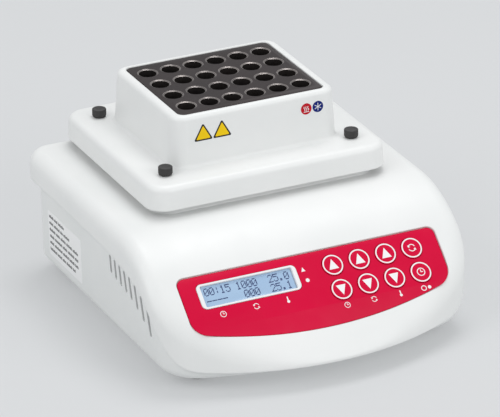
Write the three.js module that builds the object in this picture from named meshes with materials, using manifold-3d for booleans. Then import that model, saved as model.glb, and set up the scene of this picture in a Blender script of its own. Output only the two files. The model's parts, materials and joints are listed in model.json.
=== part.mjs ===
// A dry block heater with an orbital shaking platform, for tubes in a 24-well aluminium block.
//
// Millimetres, +Z up, the front of the case towards -Y. The origin is on the table, under the
// centre of the case. The case holds a motor whose eccentric carries the platform round a small
// circle; three idler cranks with the same throw keep the platform from turning.

import * as THREE from 'three';
import { mergeVertices } from 'three/addons/utils/BufferGeometryUtils.js';
import Module from 'manifold-3d';

const wasm = await Module();
wasm.setup();

// ---------------------------------------------------------------- driving dimensions

const CASE_WIDTH = 205;
const CASE_DEPTH = 230;
const CASE_HEIGHT = 130;

const GAP = 0.3; // between pieces that touch
const RUNNING = 0.05; // radial clearance of a shaft in its bearing

const DECK_Z = 78.5; // flat top of the case
const COVER_WALL = 3.5;
const COVER_SKIN = 3; // wall of the deck and of the sloping front
const COVER_EDGE = 8; // rounding of the long top edges
const COVER_BAND = 19.5; // depth of the cover's side band below the deck
const COVER_BAND_SLOPE = 12; // and below the sloping front, square to it
const CHIN_Z = 13; // lower edge of the cover's front
const CHIN_SKIN = 2.5;
const FRONT_BOW = 165; // plan radius of the bowed front
const FRONT_CORNER = 32;
const REAR_CORNER = 14;

const TUB_INSET = 5; // overhang of the cover's lip past the tub
const TUB_FRONT_INSET = 11;
const TUB_BOW = 260;
const TUB_CORNER = 26;
const TUB_WALL = 2.5;
const TUB_FLOOR_Z = 6.5;
const TUB_EDGE = 6;
const TUB_TAPER = 0.016; // share of the width lost from rim to floor
const TUB_FLARE = 3.2; // how far the side walls lean out at the front, TUB_FLARE_RISE above the floor
const TUB_FLARE_RISE = 40;
const TUB_FLARE_Y = [99, -67]; // it grows from the rear corner to the front corner
const TUB_RIM = 15; // the tub's rim below the deck, inside the cover
const TUB_RIM_SLOPE = 8.5; // and below the sloping front, square to it
const TUB_FRONT_RIM_Z = 17;

const PANEL_TILT = THREE.MathUtils.degToRad(41.5);
const PANEL_TOP_Y = -64.5;
const PANEL_TOP_Z = 61.5;
const PANEL_WIDTH = 168;
const PANEL_HEIGHT = 48.4;
const PANEL_POCKET = 1.8;
const PANEL_PLATE = [-1.5, -0.6]; // back and face of the plate, below the case's sloping face

const KEY_RADIUS = 6.6;
const KEY_COLUMNS = [14, 31.3, 48.6, 65.9];
const KEY_ROWS = [-11.3, -27.3];
const KEY_TRAVEL = 0.8;
const DISPLAY = { x: -41, y: -13.8, width: 64, height: 16, viewWidth: 57, viewHeight: 13.3 };

const VENT_COUNT = 8;
const VENT_PITCH = 7.9;
const VENT_FIRST_Y = -7.4;
const VENT_WIDTH = 2.2;
const VENT_LENGTH = [12, 17.5];
const VENT_BELOW_COVER = 2.2;

const THROW = 1; // radius of the shaking orbit
const DRIVE_Y = 46.5;
const CHASSIS_Z = [43, 47];
const PLATE_Z = [60, 64];
const SHAFT_RADIUS = 3;
const BEARING_RADIUS = 8;
const IDLER_PLACES = [[-48, -36], [48, -36], [0, 44]];
const IDLER_BEARING_RADIUS = 6.5;

const BLOCK = { halfX: 47, halfY: 39.9, bottom: 90, top: 129.6 };
const WELL_RADIUS = 5.5;
const WELL_PITCH_X = 15;
const WELL_PITCH_Y = 18.4;
const WELL_COLUMNS = 6;
const WELL_ROWS = 4;
const WELL_STRAIGHT = 19;
const WELL_DEPTH = 36.5;
const WELL_TIP = 2.2;

const TRAY = { halfX: 77.9, halfY: 67.2, bottom: 83.1, top: 98, corner: 12, edge: 4, wall: 2.5 };
const COLLAR = { halfX: 54, halfY: 45.1, corner: 8, edge: 3, rim: 3.5 };
const THUMBSCREW = { x: 61, y: 48, radius: 4.3, height: 5, shaft: 1.5, reach: 9.3 };

const FOOT_PLACES = {
  front_left: [-72, -68],
  front_right: [72, -68],
  rear_left: [-78, 92],
  rear_right: [78, 92],
};
const SCREW_PLACES = {
  front_left: [-84, -74],
  front_right: [84, -74],
  rear_left: [-88, 78],
  rear_right: [88, 78],
};

const SCREW_BORE = 1.8; // radius of the holes for the casing and chassis screws
const PILLAR_RADIUS = 4; // the cover's screw pillars
const APERTURE = { halfX: 70, halfY: 59.5, corner: 10, rim: 2, rimTop: 85 }; // in the deck, under the tray
const CHASSIS_POSTS = [[-56, -46], [56, -46], [-56, 46], [56, 46]].map(([x, y]) => [x, DRIVE_Y + y]);
const CHASSIS = { halfX: 63, halfY: 53, corner: 8, postRadius: 4.5 };

const FAN = { x: -82, y: -30, size: 40, depth: 10, hub: 7.5, blades: 7, pitch: 38 };
const SWITCH = { x: -74, z: 34, width: 12, height: 19, depth: 14, wall: 1.2 };
const ROCKER_TILT = 9; // degrees either side of level
const INLET = { x: -28, z: 34, radius: 4.6, flange: 6, socket: 3.2, pin: 1 };

const MAIN_BOARD = { x0: -60, x1: 70, y0: -86, y1: -26, z: 13, thick: 1.6 };
const MAIN_BOARD_POSTS = [[-54, -80], [64, -80], [-54, -32], [64, -32]];
const BOARD = { top: 7.5, thick: 1.6, halfX: 79, halfY: 18, y: -22 }; // the display board, below the slope
const BOARD_PILLARS = [[-76, -14], [76.6, -19], [-70, -35], [70, -37]];

const MOTOR = { radius: 18, height: 24, cap: 9 };
const COUNTERWEIGHT = { radius: 24, bore: 5, thick: 6 };
const PLATFORM_PLATE = { halfX: 66.5, halfY: 56, corner: 8, postRadius: 5 };
const HEAT_SINK = { halfX: 52, halfY: 42, top: 86, plateBottom: 81.5, fins: 15, finThick: 2 };
const THERMO_MODULE = { half: 20, x: 23.5 };
const INSULATION = { halfX: 49.9, halfY: 41.6, corner: 5 };

const BEHIND = 160; // reaches past the case on any side

// ---------------------------------------------------------------- materials

function material(color, roughness, metalness = 0) {
  return new THREE.MeshStandardMaterial({ color, roughness, metalness });
}

const whiteShell = material(0xf0f1f0, 0.38);
const redPanel = material(0xd31c44, 0.35);
const whitePrint = material(0xf7f7f7, 0.4);
const blueDisplay = material(0x9fc6e6, 0.15);
const darkBlock = material(0x58504e, 0.45, 0.6);
const blackPlastic = material(0x2b2929, 0.5);
const rubber = material(0x232323, 0.85);
const steel = material(0xb9bcc0, 0.3, 1);
const brass = material(0xc2a55a, 0.35, 1);
const aluminium = material(0xc9ccd0, 0.35, 1);
const board = material(0x1f6b3d, 0.5);
const ceramic = material(0xeceae4, 0.6);
const foam = material(0x3a3a3c, 0.95);
const cable = material(0xb8b9bb, 0.6);

// ---------------------------------------------------------------- solids

// A closed three.js geometry as a solid that can be cut and joined.
function solid(geometry) {
  const bare = new THREE.BufferGeometry();
  bare.setAttribute('position', geometry.getAttribute('position').clone());
  if (geometry.index) bare.setIndex(geometry.index.clone());
  const merged = mergeVertices(bare, 1e-4);
  return new wasm.Manifold(new wasm.Mesh({
    numProp: 3,
    vertProperties: Float32Array.from(merged.getAttribute('position').array),
    triVerts: dropSlivers(merged.index.array),
  }));
}

// Triangles whose corners were merged into one another are left out.
function dropSlivers(index) {
  const kept = [];
  for (let i = 0; i < index.length; i += 3) {
    const [a, b, c] = [index[i], index[i + 1], index[i + 2]];
    if (a !== b && b !== c && c !== a) kept.push(a, b, c);
  }
  return Uint32Array.from(kept);
}

function mesh(name, shape, look) {
  const { vertProperties, triVerts } = shape.getMesh();
  const geometry = new THREE.BufferGeometry();
  geometry.setAttribute('position', new THREE.BufferAttribute(Float32Array.from(vertProperties), 3));
  geometry.setIndex(new THREE.BufferAttribute(Uint32Array.from(triVerts), 1));
  geometry.computeVertexNormals();
  const made = new THREE.Mesh(geometry, look);
  made.name = name;
  return made;
}

function union(...parts) {
  return parts.flat().reduce((whole, part) => whole.add(part));
}

function cut(whole, ...cutters) {
  return cutters.flat().reduce((rest, cutter) => rest.subtract(cutter), whole);
}

function box(x0, x1, y0, y1, z0, z1) {
  const geometry = new THREE.BoxGeometry(x1 - x0, y1 - y0, z1 - z0);
  return solid(geometry.translate((x0 + x1) / 2, (y0 + y1) / 2, (z0 + z1) / 2));
}

// An upright cylinder on [x, y].
function rod(radius, z0, z1, [x, y] = [0, 0], sides = 16) {
  const geometry = new THREE.CylinderGeometry(radius, radius, z1 - z0, sides);
  geometry.rotateX(Math.PI / 2);
  return solid(geometry.translate(x, y, (z0 + z1) / 2));
}

// A bore whose flats stay clear of a shaft of the given radius.
function bore(shaftRadius, clearance, z0, z1, place, sides = 16) {
  return rod((shaftRadius + clearance) / Math.cos(Math.PI / sides), z0, z1, place, sides);
}

// A body of revolution about Z from [radius, z] points that run from the axis back to the axis.
function turned(points, sides = 16) {
  const geometry = new THREE.LatheGeometry(points.map(([r, z]) => new THREE.Vector2(r, z)), sides);
  return solid(geometry.rotateX(Math.PI / 2));
}

// A plan shape raised from z0 to z1, with its lower and upper edges rounded if asked.
function raised(shape, z0, z1, edge = 0, curveSegments = 3) {
  const geometry = new THREE.ExtrudeGeometry(shape, {
    depth: z1 - z0 - 2 * edge,
    bevelEnabled: edge > 0,
    bevelSize: edge,
    bevelThickness: edge,
    bevelOffset: -edge,
    bevelSegments: 2,
    curveSegments,
  });
  return solid(geometry.translate(0, 0, z0 + edge));
}

// A side-view shape, drawn in Y and Z, run along X.
function runAcross(shape, x0, x1, edge = 0, curveSegments = 4) {
  const geometry = new THREE.ExtrudeGeometry(shape, {
    depth: x1 - x0 - 2 * edge,
    bevelEnabled: edge > 0,
    bevelSize: edge,
    bevelThickness: edge,
    bevelOffset: -edge,
    bevelSegments: 2,
    curveSegments,
  });
  geometry.translate(0, 0, x0 + edge);
  const turn = new THREE.Matrix4().makeBasis(
    new THREE.Vector3(0, 1, 0), new THREE.Vector3(0, 0, 1), new THREE.Vector3(1, 0, 0));
  return solid(geometry.applyMatrix4(turn));
}

// ---------------------------------------------------------------- outlines

function rounded(halfX, halfY, corner, x = 0, y = 0) {
  const shape = new THREE.Shape();
  shape.absarc(x + halfX - corner, y + halfY - corner, corner, 0, Math.PI / 2);
  shape.absarc(x - halfX + corner, y + halfY - corner, corner, Math.PI / 2, Math.PI);
  shape.absarc(x - halfX + corner, y - halfY + corner, corner, Math.PI, Math.PI * 1.5);
  shape.absarc(x + halfX - corner, y - halfY + corner, corner, Math.PI * 1.5, Math.PI * 2);
  return shape;
}

// A rectangle whose lower side bows out on one large radius, with tangent corner arcs.
function bowed(halfX, yBack, yFront, backCorner, frontCorner, bow) {
  const bowY = yFront + bow;
  const cornerX = halfX - frontCorner;
  const cornerY = bowY - Math.sqrt((bow - frontCorner) ** 2 - cornerX ** 2);
  const meet = Math.atan2(bowY - cornerY, cornerX);
  const shape = new THREE.Shape();
  shape.absarc(halfX - backCorner, yBack - backCorner, backCorner, 0, Math.PI / 2);
  shape.absarc(-halfX + backCorner, yBack - backCorner, backCorner, Math.PI / 2, Math.PI);
  shape.absarc(-cornerX, cornerY, frontCorner, Math.PI, Math.PI * 2 - (Math.PI - meet));
  shape.absarc(0, bowY, bow, Math.PI + meet, Math.PI * 2 - meet);
  shape.absarc(cornerX, cornerY, frontCorner, Math.PI * 2 - meet, Math.PI * 2);
  return shape;
}

// The case in plan, with every wall moved inwards by the inset.
function casePlan(inset) {
  return bowed(CASE_WIDTH / 2 - inset, CASE_DEPTH / 2 - inset, -CASE_DEPTH / 2 + inset,
    REAR_CORNER - inset, FRONT_CORNER - inset, FRONT_BOW - inset);
}

function tubPlan(inset) {
  return bowed(CASE_WIDTH / 2 - TUB_INSET - inset, CASE_DEPTH / 2 - TUB_INSET - inset,
    -CASE_DEPTH / 2 + TUB_FRONT_INSET + inset, REAR_CORNER - TUB_INSET + 2 - inset,
    TUB_CORNER - inset, TUB_BOW - inset);
}

// The flat deck rolls over into the sloping front on an arc that ends 1 mm above the panel.
const rollTangent = (DECK_Z - PANEL_TOP_Z) / Math.sin(PANEL_TILT) - 1;
const rollRadius = rollTangent / Math.tan(PANEL_TILT / 2);

// The case's top face in side view, lowered by depth at the deck and by slopeDepth square to the
// sloping front, with the roll between them on one arc.
function topLine(depth, slopeDepth = depth) {
  const [sine, cosine] = [Math.sin(PANEL_TILT), Math.cos(PANEL_TILT)];
  const radius = rollRadius - depth;
  const z = DECK_Z - depth - radius;
  const slopeY = PANEL_TOP_Y + slopeDepth * sine;
  const slopeZ = PANEL_TOP_Z - slopeDepth * cosine;
  const y = slopeY + (radius + (z - slopeZ) * cosine) / sine;
  return { y, z, radius, tangentY: y - radius * sine, tangentZ: z + radius * cosine };
}

function heightOn(line, y) {
  if (y >= line.y) return line.z + line.radius;
  if (y > line.tangentY) return line.z + Math.sqrt(line.radius ** 2 - (line.y - y) ** 2);
  return line.tangentZ - (line.tangentY - y) * Math.tan(PANEL_TILT);
}

// The side view of everything under that line, down to floorZ, level from frontZ at the front.
function underTop(line, backY, backRound, frontY, frontZ, floorZ) {
  const deckZ = line.z + line.radius;
  const frontHitY = line.tangentY - (line.tangentZ - frontZ) / Math.tan(PANEL_TILT);
  const shape = new THREE.Shape();
  shape.moveTo(backY, floorZ);
  shape.lineTo(backY, deckZ - backRound);
  if (backRound > 0) {
    shape.absarc(backY - backRound, deckZ - backRound, backRound, 0, Math.PI / 2);
  }
  shape.absarc(line.y, line.z, line.radius, Math.PI / 2, Math.PI / 2 + PANEL_TILT);
  if (frontHitY > frontY) shape.lineTo(frontHitY, frontZ);
  shape.lineTo(frontY, Math.max(frontZ, heightOn(line, frontY)));
  shape.lineTo(frontY, floorZ);
  return shape;
}

// The room under the cover's lower edge, kept further below it by the given distance.
function underBand(below) {
  const line = topLine(COVER_BAND + below, COVER_BAND_SLOPE + below);
  return runAcross(underTop(line, BEHIND, 0, -BEHIND, CHIN_Z - below, -BEHIND), -BEHIND, BEHIND);
}

function panelFrame() {
  const frame = new THREE.Group();
  frame.position.set(0, PANEL_TOP_Y, PANEL_TOP_Z);
  frame.rotation.x = PANEL_TILT;
  frame.updateMatrix();
  return frame;
}

// Turns a solid drawn on the control panel (x across, y up the slope, z out of it) into the case.
function ontoSlope(shape) {
  return shape.transform(panelFrame().matrix.elements);
}

const panelOutline = (inset) => bowed(PANEL_WIDTH / 2 - inset, -inset, -PANEL_HEIGHT + inset,
  5 - inset, 12 - inset, 280 - inset);

const keyPlaces = KEY_ROWS.flatMap((y) => KEY_COLUMNS.map((x) => [x, y]));

// ---------------------------------------------------------------- case

function caseBody(inset, depth, edge, floorZ) {
  const half = CASE_WIDTH / 2 - inset;
  const section = underTop(topLine(depth), CASE_DEPTH / 2 - inset, edge + 1, -BEHIND, -BEHIND, -BEHIND);
  const outline = raised(casePlan(inset), floorZ, CASE_HEIGHT);
  return outline.intersect(runAcross(section, -half, half, edge));
}

function topCover() {
  const rim = raised(rounded(APERTURE.halfX + APERTURE.rim, APERTURE.halfY + APERTURE.rim,
    APERTURE.corner + APERTURE.rim, THROW / 2, DRIVE_Y), DECK_Z - 1, APERTURE.rimTop, 0, 4);
  const aperture = raised(rounded(APERTURE.halfX, APERTURE.halfY, APERTURE.corner, THROW / 2, DRIVE_Y),
    DECK_Z - 10, APERTURE.rimTop + 1, 0, 4);
  const hollow = caseBody(COVER_WALL, COVER_SKIN, COVER_EDGE - 3, CHIN_Z + CHIN_SKIN);
  const tubWay = raised(tubPlan(-1.2), 0, CHIN_Z + CHIN_SKIN + 1, 0, 4);
  const within = caseBody(1, 1, COVER_EDGE - 1, 0);
  const pillars = Object.values(SCREW_PLACES).map((place) => (
    rod(PILLAR_RADIUS, TUB_FLOOR_Z + TUB_WALL + 1, CASE_HEIGHT, place, 10).intersect(within)));
  const pilots = Object.values(SCREW_PLACES).map((place) => rod(SCREW_BORE, 0, 19, place, 8));
  const shell = cut(caseBody(0, 0, COVER_EDGE, -1), underBand(0), hollow, tubWay);
  const pocket = raised(panelOutline(0), -PANEL_POCKET, 10);
  const keyHoles = keyPlaces.map((place) => rod(KEY_RADIUS + 0.6, -10, 1, place, 12));
  const window = raised(rounded(DISPLAY.width / 2 + GAP, DISPLAY.height / 2 + GAP, 3,
    DISPLAY.x, DISPLAY.y), -10, 1, 0, 2);
  const boardPillars = BOARD_PILLARS.map((place) => (
    rod(2.5, -BOARD.top + GAP, -COVER_SKIN + 0.5, place, 8)));
  return cut(union(shell, rim, pillars, boardPillars.map(ontoSlope)),
    aperture, pilots, [pocket, ...keyHoles, window].map(ontoSlope));
}

// The tub narrows a little towards its floor, and its side walls lean out towards the front.
function tubOutline(inset, z0) {
  const drawn = raised(tubPlan(inset), z0, CASE_HEIGHT, TUB_EDGE - inset);
  const halfWidth = CASE_WIDTH / 2 - TUB_INSET;
  const [backY, frontY] = TUB_FLARE_Y;
  return drawn.warp((point) => {
    const forward = THREE.MathUtils.clamp((backY - point[1]) / (backY - frontY), 0, 1);
    const flare = (TUB_FLARE * forward * (point[2] - TUB_FLOOR_Z)) / TUB_FLARE_RISE;
    point[0] *= 1 - TUB_TAPER * Math.max(0, (DECK_Z - point[2]) / DECK_Z) + flare / halfWidth;
  });
}

function ventSlots() {
  const slots = [];
  const coverEdge = topLine(COVER_BAND, COVER_BAND_SLOPE);
  for (let i = 0; i < VENT_COUNT; i += 1) {
    const y = VENT_FIRST_Y - VENT_PITCH * i;
    const top = heightOn(coverEdge, y) - VENT_BELOW_COVER;
    const length = THREE.MathUtils.lerp(...VENT_LENGTH, i / (VENT_COUNT - 1));
    for (const side of [-1, 1]) {
      const x = side * (CASE_WIDTH / 2 - TUB_INSET);
      slots.push(box(x - 8, x + 8, y - VENT_WIDTH / 2, y + VENT_WIDTH / 2, top - length, top));
    }
  }
  return slots;
}

function lowerCasing() {
  const floorTop = TUB_FLOOR_Z + TUB_WALL;
  const rimSection = underTop(topLine(TUB_RIM, TUB_RIM_SLOPE), BEHIND, 0, -BEHIND, TUB_FRONT_RIM_Z, -BEHIND);
  const insideCover = union(raised(casePlan(COVER_WALL + 2 * GAP), 0, CASE_HEIGHT), underBand(GAP));
  const outer = tubOutline(0, TUB_FLOOR_Z).intersect(runAcross(rimSection, -BEHIND, BEHIND))
    .intersect(insideCover);
  const posts = CHASSIS_POSTS.map((place) => (
    rod(CHASSIS.postRadius, floorTop - 1, CHASSIS_Z[0] - GAP, place, 10)));
  const boardPosts = MAIN_BOARD_POSTS.map((place) => rod(3, floorTop - 1, MAIN_BOARD.z - GAP, place, 8));
  const fanSide = FAN.depth / 2 + GAP;
  const fanRibs = [FAN.x - fanSide - 1.8, FAN.x + fanSide].map((x) => (
    box(x, x + 1.8, FAN.y - 18, FAN.y + 18, floorTop - 1, floorTop + 7)));
  const postHoles = CHASSIS_POSTS.map((place) => rod(SCREW_BORE, CHASSIS_Z[0] - 12, CHASSIS_Z[1], place, 8));
  const screwHoles = Object.values(SCREW_PLACES).map((place) => rod(SCREW_BORE, 0, floorTop + 1, place, 8));
  const footHoles = Object.values(FOOT_PLACES).map((place) => rod(2.8, 0, floorTop + 1, place, 10));
  const rear = CASE_DEPTH / 2 - TUB_INSET;
  const switchHole = box(SWITCH.x - SWITCH.width / 2 - GAP, SWITCH.x + SWITCH.width / 2 + GAP,
    rear - 8, rear + 8, SWITCH.z - SWITCH.height / 2 - GAP, SWITCH.z + SWITCH.height / 2 + GAP);
  const inletHole = solid(new THREE.CylinderGeometry(5, 5, 16, 16)
    .translate(INLET.x, rear, INLET.z));
  const tub = cut(outer, tubOutline(TUB_WALL, floorTop));
  return cut(union(tub, posts, boardPosts, fanRibs),
    postHoles, screwHoles, footHoles, ventSlots(), switchHole, inletHole);
}

function foot() {
  return turned([[0, 0], [7, 0], [8, 1.2], [8, TUB_FLOOR_Z - GAP], [2.5, TUB_FLOOR_Z - GAP],
    [2.5, TUB_FLOOR_Z + TUB_WALL + 1.5], [0, TUB_FLOOR_Z + TUB_WALL + 1.5]], 14);
}

// A pan-head screw, its shank up from z = 0 and its head below.
function screwUp(length) {
  return turned([[0, -2], [2, -2], [2.8, -1.2], [2.8, 0], [1.5, 0], [1.5, length], [0, length]], 8);
}

// ---------------------------------------------------------------- control panel, drawn on the slope

function panelPlate() {
  const [back, face] = PANEL_PLATE;
  const holes = keyPlaces.map((place) => rod(KEY_RADIUS + 0.45, -4, 1, place, 16));
  const window = raised(rounded(DISPLAY.width / 2 + GAP, DISPLAY.height / 2 + GAP, 3,
    DISPLAY.x, DISPLAY.y), -4, 1, 0, 2);
  return cut(raised(panelOutline(0.35), back, face), holes, window);
}

function key() {
  const under = -COVER_SKIN - 0.6;
  return turned([[0, -4.9], [2, -4.9], [2, -4.4], [7.6, -4.4], [7.6, under], [KEY_RADIUS, under],
    [KEY_RADIUS, -0.3], [0, 0]], 14);
}

function displayBezel() {
  const { x, y, width, height, viewWidth, viewHeight } = DISPLAY;
  const outer = raised(rounded(width / 2, height / 2, 2.8, x, y), -3.3, -0.35, 0, 2);
  return cut(outer, raised(rounded(viewWidth / 2, viewHeight / 2, 1.2, x, y), -4, 1, 0, 2));
}

function displayModule() {
  const { x, y, viewWidth, viewHeight } = DISPLAY;
  const [halfX, halfY] = [viewWidth / 2 - GAP, viewHeight / 2 - GAP];
  return union(raised(rounded(halfX, halfY, 1.2, x, y), -4.5, -1.2, 0, 2),
    box(x - 31, x + 31, y - 9.5, y + 9.5, -6.8, -3.9));
}

function displayBoard() {
  const outline = rounded(BOARD.halfX, BOARD.halfY, 8, 0, BOARD.y);
  const plate = raised(outline, -BOARD.top - BOARD.thick, -BOARD.top, 0, 2);
  const switches = keyPlaces.map(([x, y]) => box(x - 3, x + 3, y - 3, y + 3, -BOARD.top - 0.5, -5.8));
  return union(plate, switches);
}

// ---------------------------------------------------------------- boards, fan, rear fittings

function mainBoard() {
  const { x0, x1, y0, y1, z, thick } = MAIN_BOARD;
  const top = z + thick;
  const capacitors = [-48, -36, -24].map((x) => rod(5, top - 0.5, top + 12, [x, -44], 10));
  const driver = box(20, 44, -48, -34, top - 0.5, top + 9);
  const sockets = [[-50, -76], [-20, -76], [50, -60]].map(([x, y]) => (
    box(x - 7, x + 7, y - 3, y + 3, top - 0.5, top + 6)));
  return union(box(x0, x1, y0, y1, z, top), capacitors, driver, sockets);
}

// A flat cable that hangs from the display board in one bend to the main board.
function ribbonCable() {
  const middle = new THREE.CatmullRomCurve3([
    new THREE.Vector3(-83.6, 29.6, 0), new THREE.Vector3(-80, 24.5, 0),
    new THREE.Vector3(-73, 22.5, 0), new THREE.Vector3(-68, 19.5, 0), new THREE.Vector3(-66.5, 15, 0),
  ]);
  const points = middle.getPoints(12);
  const half = 0.4;
  const sideways = points.map((_, i) => {
    const along = middle.getTangent(i / 12);
    return new THREE.Vector2(-along.y * half, along.x * half);
  });
  const left = points.map((p, i) => new THREE.Vector2(p.x + sideways[i].x, p.y + sideways[i].y));
  const right = points.map((p, i) => new THREE.Vector2(p.x - sideways[i].x, p.y - sideways[i].y));
  return runAcross(new THREE.Shape([...left, ...right.reverse()]), -2, 18);
}

// The fan is drawn lying flat, its axis on Z, and stood up against the side vents.
function fanFrame() {
  const half = FAN.size / 2;
  const [low, high] = [-FAN.depth / 2, FAN.depth / 2];
  const square = raised(rounded(half, half, 3), low, high, 0, 2);
  const ring = cut(square, rod(half - 1.3, low - 1, high + 1, [0, 0], 20));
  const spokes = [0, 1, 2].map((i) => box(0, half - 1, -1, 1, high - 1.5, high)
    .rotate([0, 0, i * 120 + 30]));
  const corners = [[-1, -1], [-1, 1], [1, -1], [1, 1]].map(([x, y]) => (
    rod(1.6, low - 1, high + 1, [x * 16.6, y * 16.6], 6)));
  return cut(union(ring, spokes, rod(FAN.hub, high - 2, high, [0, 0], 12)), corners);
}

function fanRotor() {
  const hub = rod(FAN.hub, -FAN.depth / 2 + 0.5, FAN.depth / 2 - 2.4, [0, 0], 12);
  const blades = [];
  for (let i = 0; i < FAN.blades; i += 1) {
    const blade = box(FAN.hub - 1, FAN.size / 2 - 2.5, -0.5, 0.5, -3.6, 3.6).rotate([FAN.pitch, 0, 0])
      .translate([0, 0, -0.8]);
    blades.push(blade.rotate([0, 0, (i * 360) / FAN.blades]));
  }
  return union(hub, blades);
}

// Drawn with the mounting face on z = 0 and the outside towards +Z, then turned to face the rear.
function switchHousing() {
  const [halfX, halfY] = [SWITCH.width / 2, SWITCH.height / 2];
  const inner = [halfX - SWITCH.wall, halfY - SWITCH.wall];
  const body = box(-halfX, halfX, -halfY, halfY, -SWITCH.depth, 1);
  const flange = raised(rounded(halfX + 1.6, halfY + 1.6, 1.5), GAP, 2, 0, 2);
  const cavity = box(-inner[0], inner[0], -inner[1], inner[1], -9, 5);
  const terminals = [-5, 5].map((y) => (
    box(-2.4, 2.4, y - 0.4, y + 0.4, -SWITCH.depth - 6, -SWITCH.depth + 0.5)));
  return cut(union(body, flange, terminals), cavity);
}

// The rocker's two faces meet at a shallow angle, so one half stands out while the other is in.
function rocker() {
  const halfX = SWITCH.width / 2 - 1.5;
  const reach = SWITCH.height / 2 - 1.9;
  const rise = reach * Math.tan(THREE.MathUtils.degToRad(ROCKER_TILT));
  const shape = new THREE.Shape();
  shape.moveTo(-reach, rise);
  shape.lineTo(-reach + 0.6, -3);
  shape.lineTo(-2, -5.5);
  shape.lineTo(2, -5.5);
  shape.lineTo(reach - 0.6, -3);
  shape.lineTo(reach, rise);
  shape.lineTo(0, 0);
  return runAcross(shape, -halfX, halfX).translate([0, 0, 2]).rotate([ROCKER_TILT, 0, 0]);
}

function dcInlet() {
  const body = rod(INLET.radius, -12, 1, [0, 0], 12);
  const flange = rod(INLET.flange, GAP, 1.6);
  const socket = rod(INLET.socket, -9, 3, [0, 0], 12);
  return union(cut(union(body, flange), socket), rod(INLET.pin, -10, 0.8, [0, 0], 8));
}

// ---------------------------------------------------------------- drive

function chassisPlate() {
  const plate = raised(rounded(CHASSIS.halfX, CHASSIS.halfY, CHASSIS.corner, 0, DRIVE_Y), ...CHASSIS_Z, 0, 3);
  const seat = rod(BEARING_RADIUS + 0.4, 0, 60, [0, DRIVE_Y]);
  const idlerSeats = IDLER_PLACES.map(([x, y]) => (
    rod(IDLER_BEARING_RADIUS + 0.4, 0, 60, [x, DRIVE_Y + y])));
  const holes = CHASSIS_POSTS.map((place) => rod(SCREW_BORE, 0, 60, place, 8));
  return cut(plate, seat, idlerSeats, holes);
}

function bearing(outerRadius, shaftRadius, [z0, z1]) {
  const ring = rod(outerRadius, z0 + 0.2, z1 - 0.2);
  return cut(ring, bore(shaftRadius, RUNNING, z0 - 1, z1 + 1));
}

function motor() {
  const top = CHASSIS_Z[0] - GAP;
  const bottom = top - MOTOR.height;
  const can = rod(MOTOR.radius, bottom, top, [0, 0], 24);
  const cap = rod(MOTOR.cap, bottom - 2.5, bottom + 1);
  const lugs = [-12, 12].map((x) => box(x - 1.4, x + 1.4, -0.3, 0.3, bottom - 5, bottom + 1));
  return cut(union(can, cap, lugs), bore(SHAFT_RADIUS, GAP, bottom + 4, top + 1));
}

function eccentricShaft() {
  const shaft = rod(SHAFT_RADIUS, 25, CHASSIS_Z[1] + 1);
  const flange = rod(9, CHASSIS_Z[1] + 0.5, CHASSIS_Z[1] + 3.5, [0, 0], 20);
  const pin = rod(SHAFT_RADIUS, CHASSIS_Z[1] + 3, PLATE_Z[1] - 0.3, [THROW, 0]);
  return union(shaft, flange, pin);
}

// Half a ring on the side away from the crank pin.
function counterweight() {
  const bottom = CHASSIS_Z[1] + 3.8;
  const { radius, bore: inner, thick } = COUNTERWEIGHT;
  const top = bottom + thick;
  const ring = cut(rod(radius, bottom, top, [0, 0], 28), rod(inner, bottom - 1, top + 1));
  return cut(ring, box(0, radius + 1, -radius - 1, radius + 1, bottom - 1, top + 1));
}

function idlerCrank() {
  const journal = rod(SHAFT_RADIUS, CHASSIS_Z[0] - 1, CHASSIS_Z[1] + 1);
  const web = rod(6, CHASSIS_Z[1] + 0.5, CHASSIS_Z[1] + 3, [THROW / 2, 0], 12);
  const pin = rod(2.5, CHASSIS_Z[1] + 2.5, PLATE_Z[1] - 0.3, [THROW, 0], 12);
  return union(journal, web, pin);
}

// ---------------------------------------------------------------- platform, drawn about its own centre

const screwCorners = [[-1, -1], [1, -1], [-1, 1], [1, 1]].map(([x, y]) => (
  [x * THUMBSCREW.x, y * THUMBSCREW.y]));

function platformPlate() {
  const postTop = TRAY.top - TRAY.wall - GAP;
  const { halfX, halfY, corner, postRadius } = PLATFORM_PLATE;
  const plate = raised(rounded(halfX, halfY, corner), ...PLATE_Z, 0, 3);
  const posts = screwCorners.map((place) => rod(postRadius, PLATE_Z[0] + 1, postTop, place, 12));
  const threads = screwCorners.map((place) => rod(1.9, postTop - 13, postTop + 1, place, 8));
  const seat = rod(BEARING_RADIUS + 0.4, 0, 80);
  const idlerBores = IDLER_PLACES.map((place) => bore(2.5, 0.1, 0, 80, place, 14));
  return cut(union(plate, posts), threads, seat, idlerBores);
}

// A plate with fins hanging from it, run along Y.
function heatSink() {
  const { halfX, halfY, top, plateBottom, fins, finThick } = HEAT_SINK;
  const pitch = (2 * halfX - finThick) / (fins - 1);
  const shape = new THREE.Shape();
  shape.moveTo(halfX, top);
  shape.lineTo(-halfX, top);
  for (let i = 0; i < fins; i += 1) {
    const x = -halfX + i * pitch;
    shape.lineTo(x, PLATE_Z[1] + GAP);
    shape.lineTo(x + finThick, PLATE_Z[1] + GAP);
    if (i < fins - 1) {
      shape.lineTo(x + finThick, plateBottom);
      shape.lineTo(x + pitch, plateBottom);
    }
  }
  const geometry = new THREE.ExtrudeGeometry(shape, { depth: 2 * halfY, bevelEnabled: false });
  return solid(geometry.rotateX(Math.PI / 2).translate(0, halfY, 0));
}

function thermoModule(x) {
  const { half } = THERMO_MODULE;
  return box(x - half, x + half, -half, half, HEAT_SINK.top + GAP, BLOCK.bottom - GAP);
}

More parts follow.
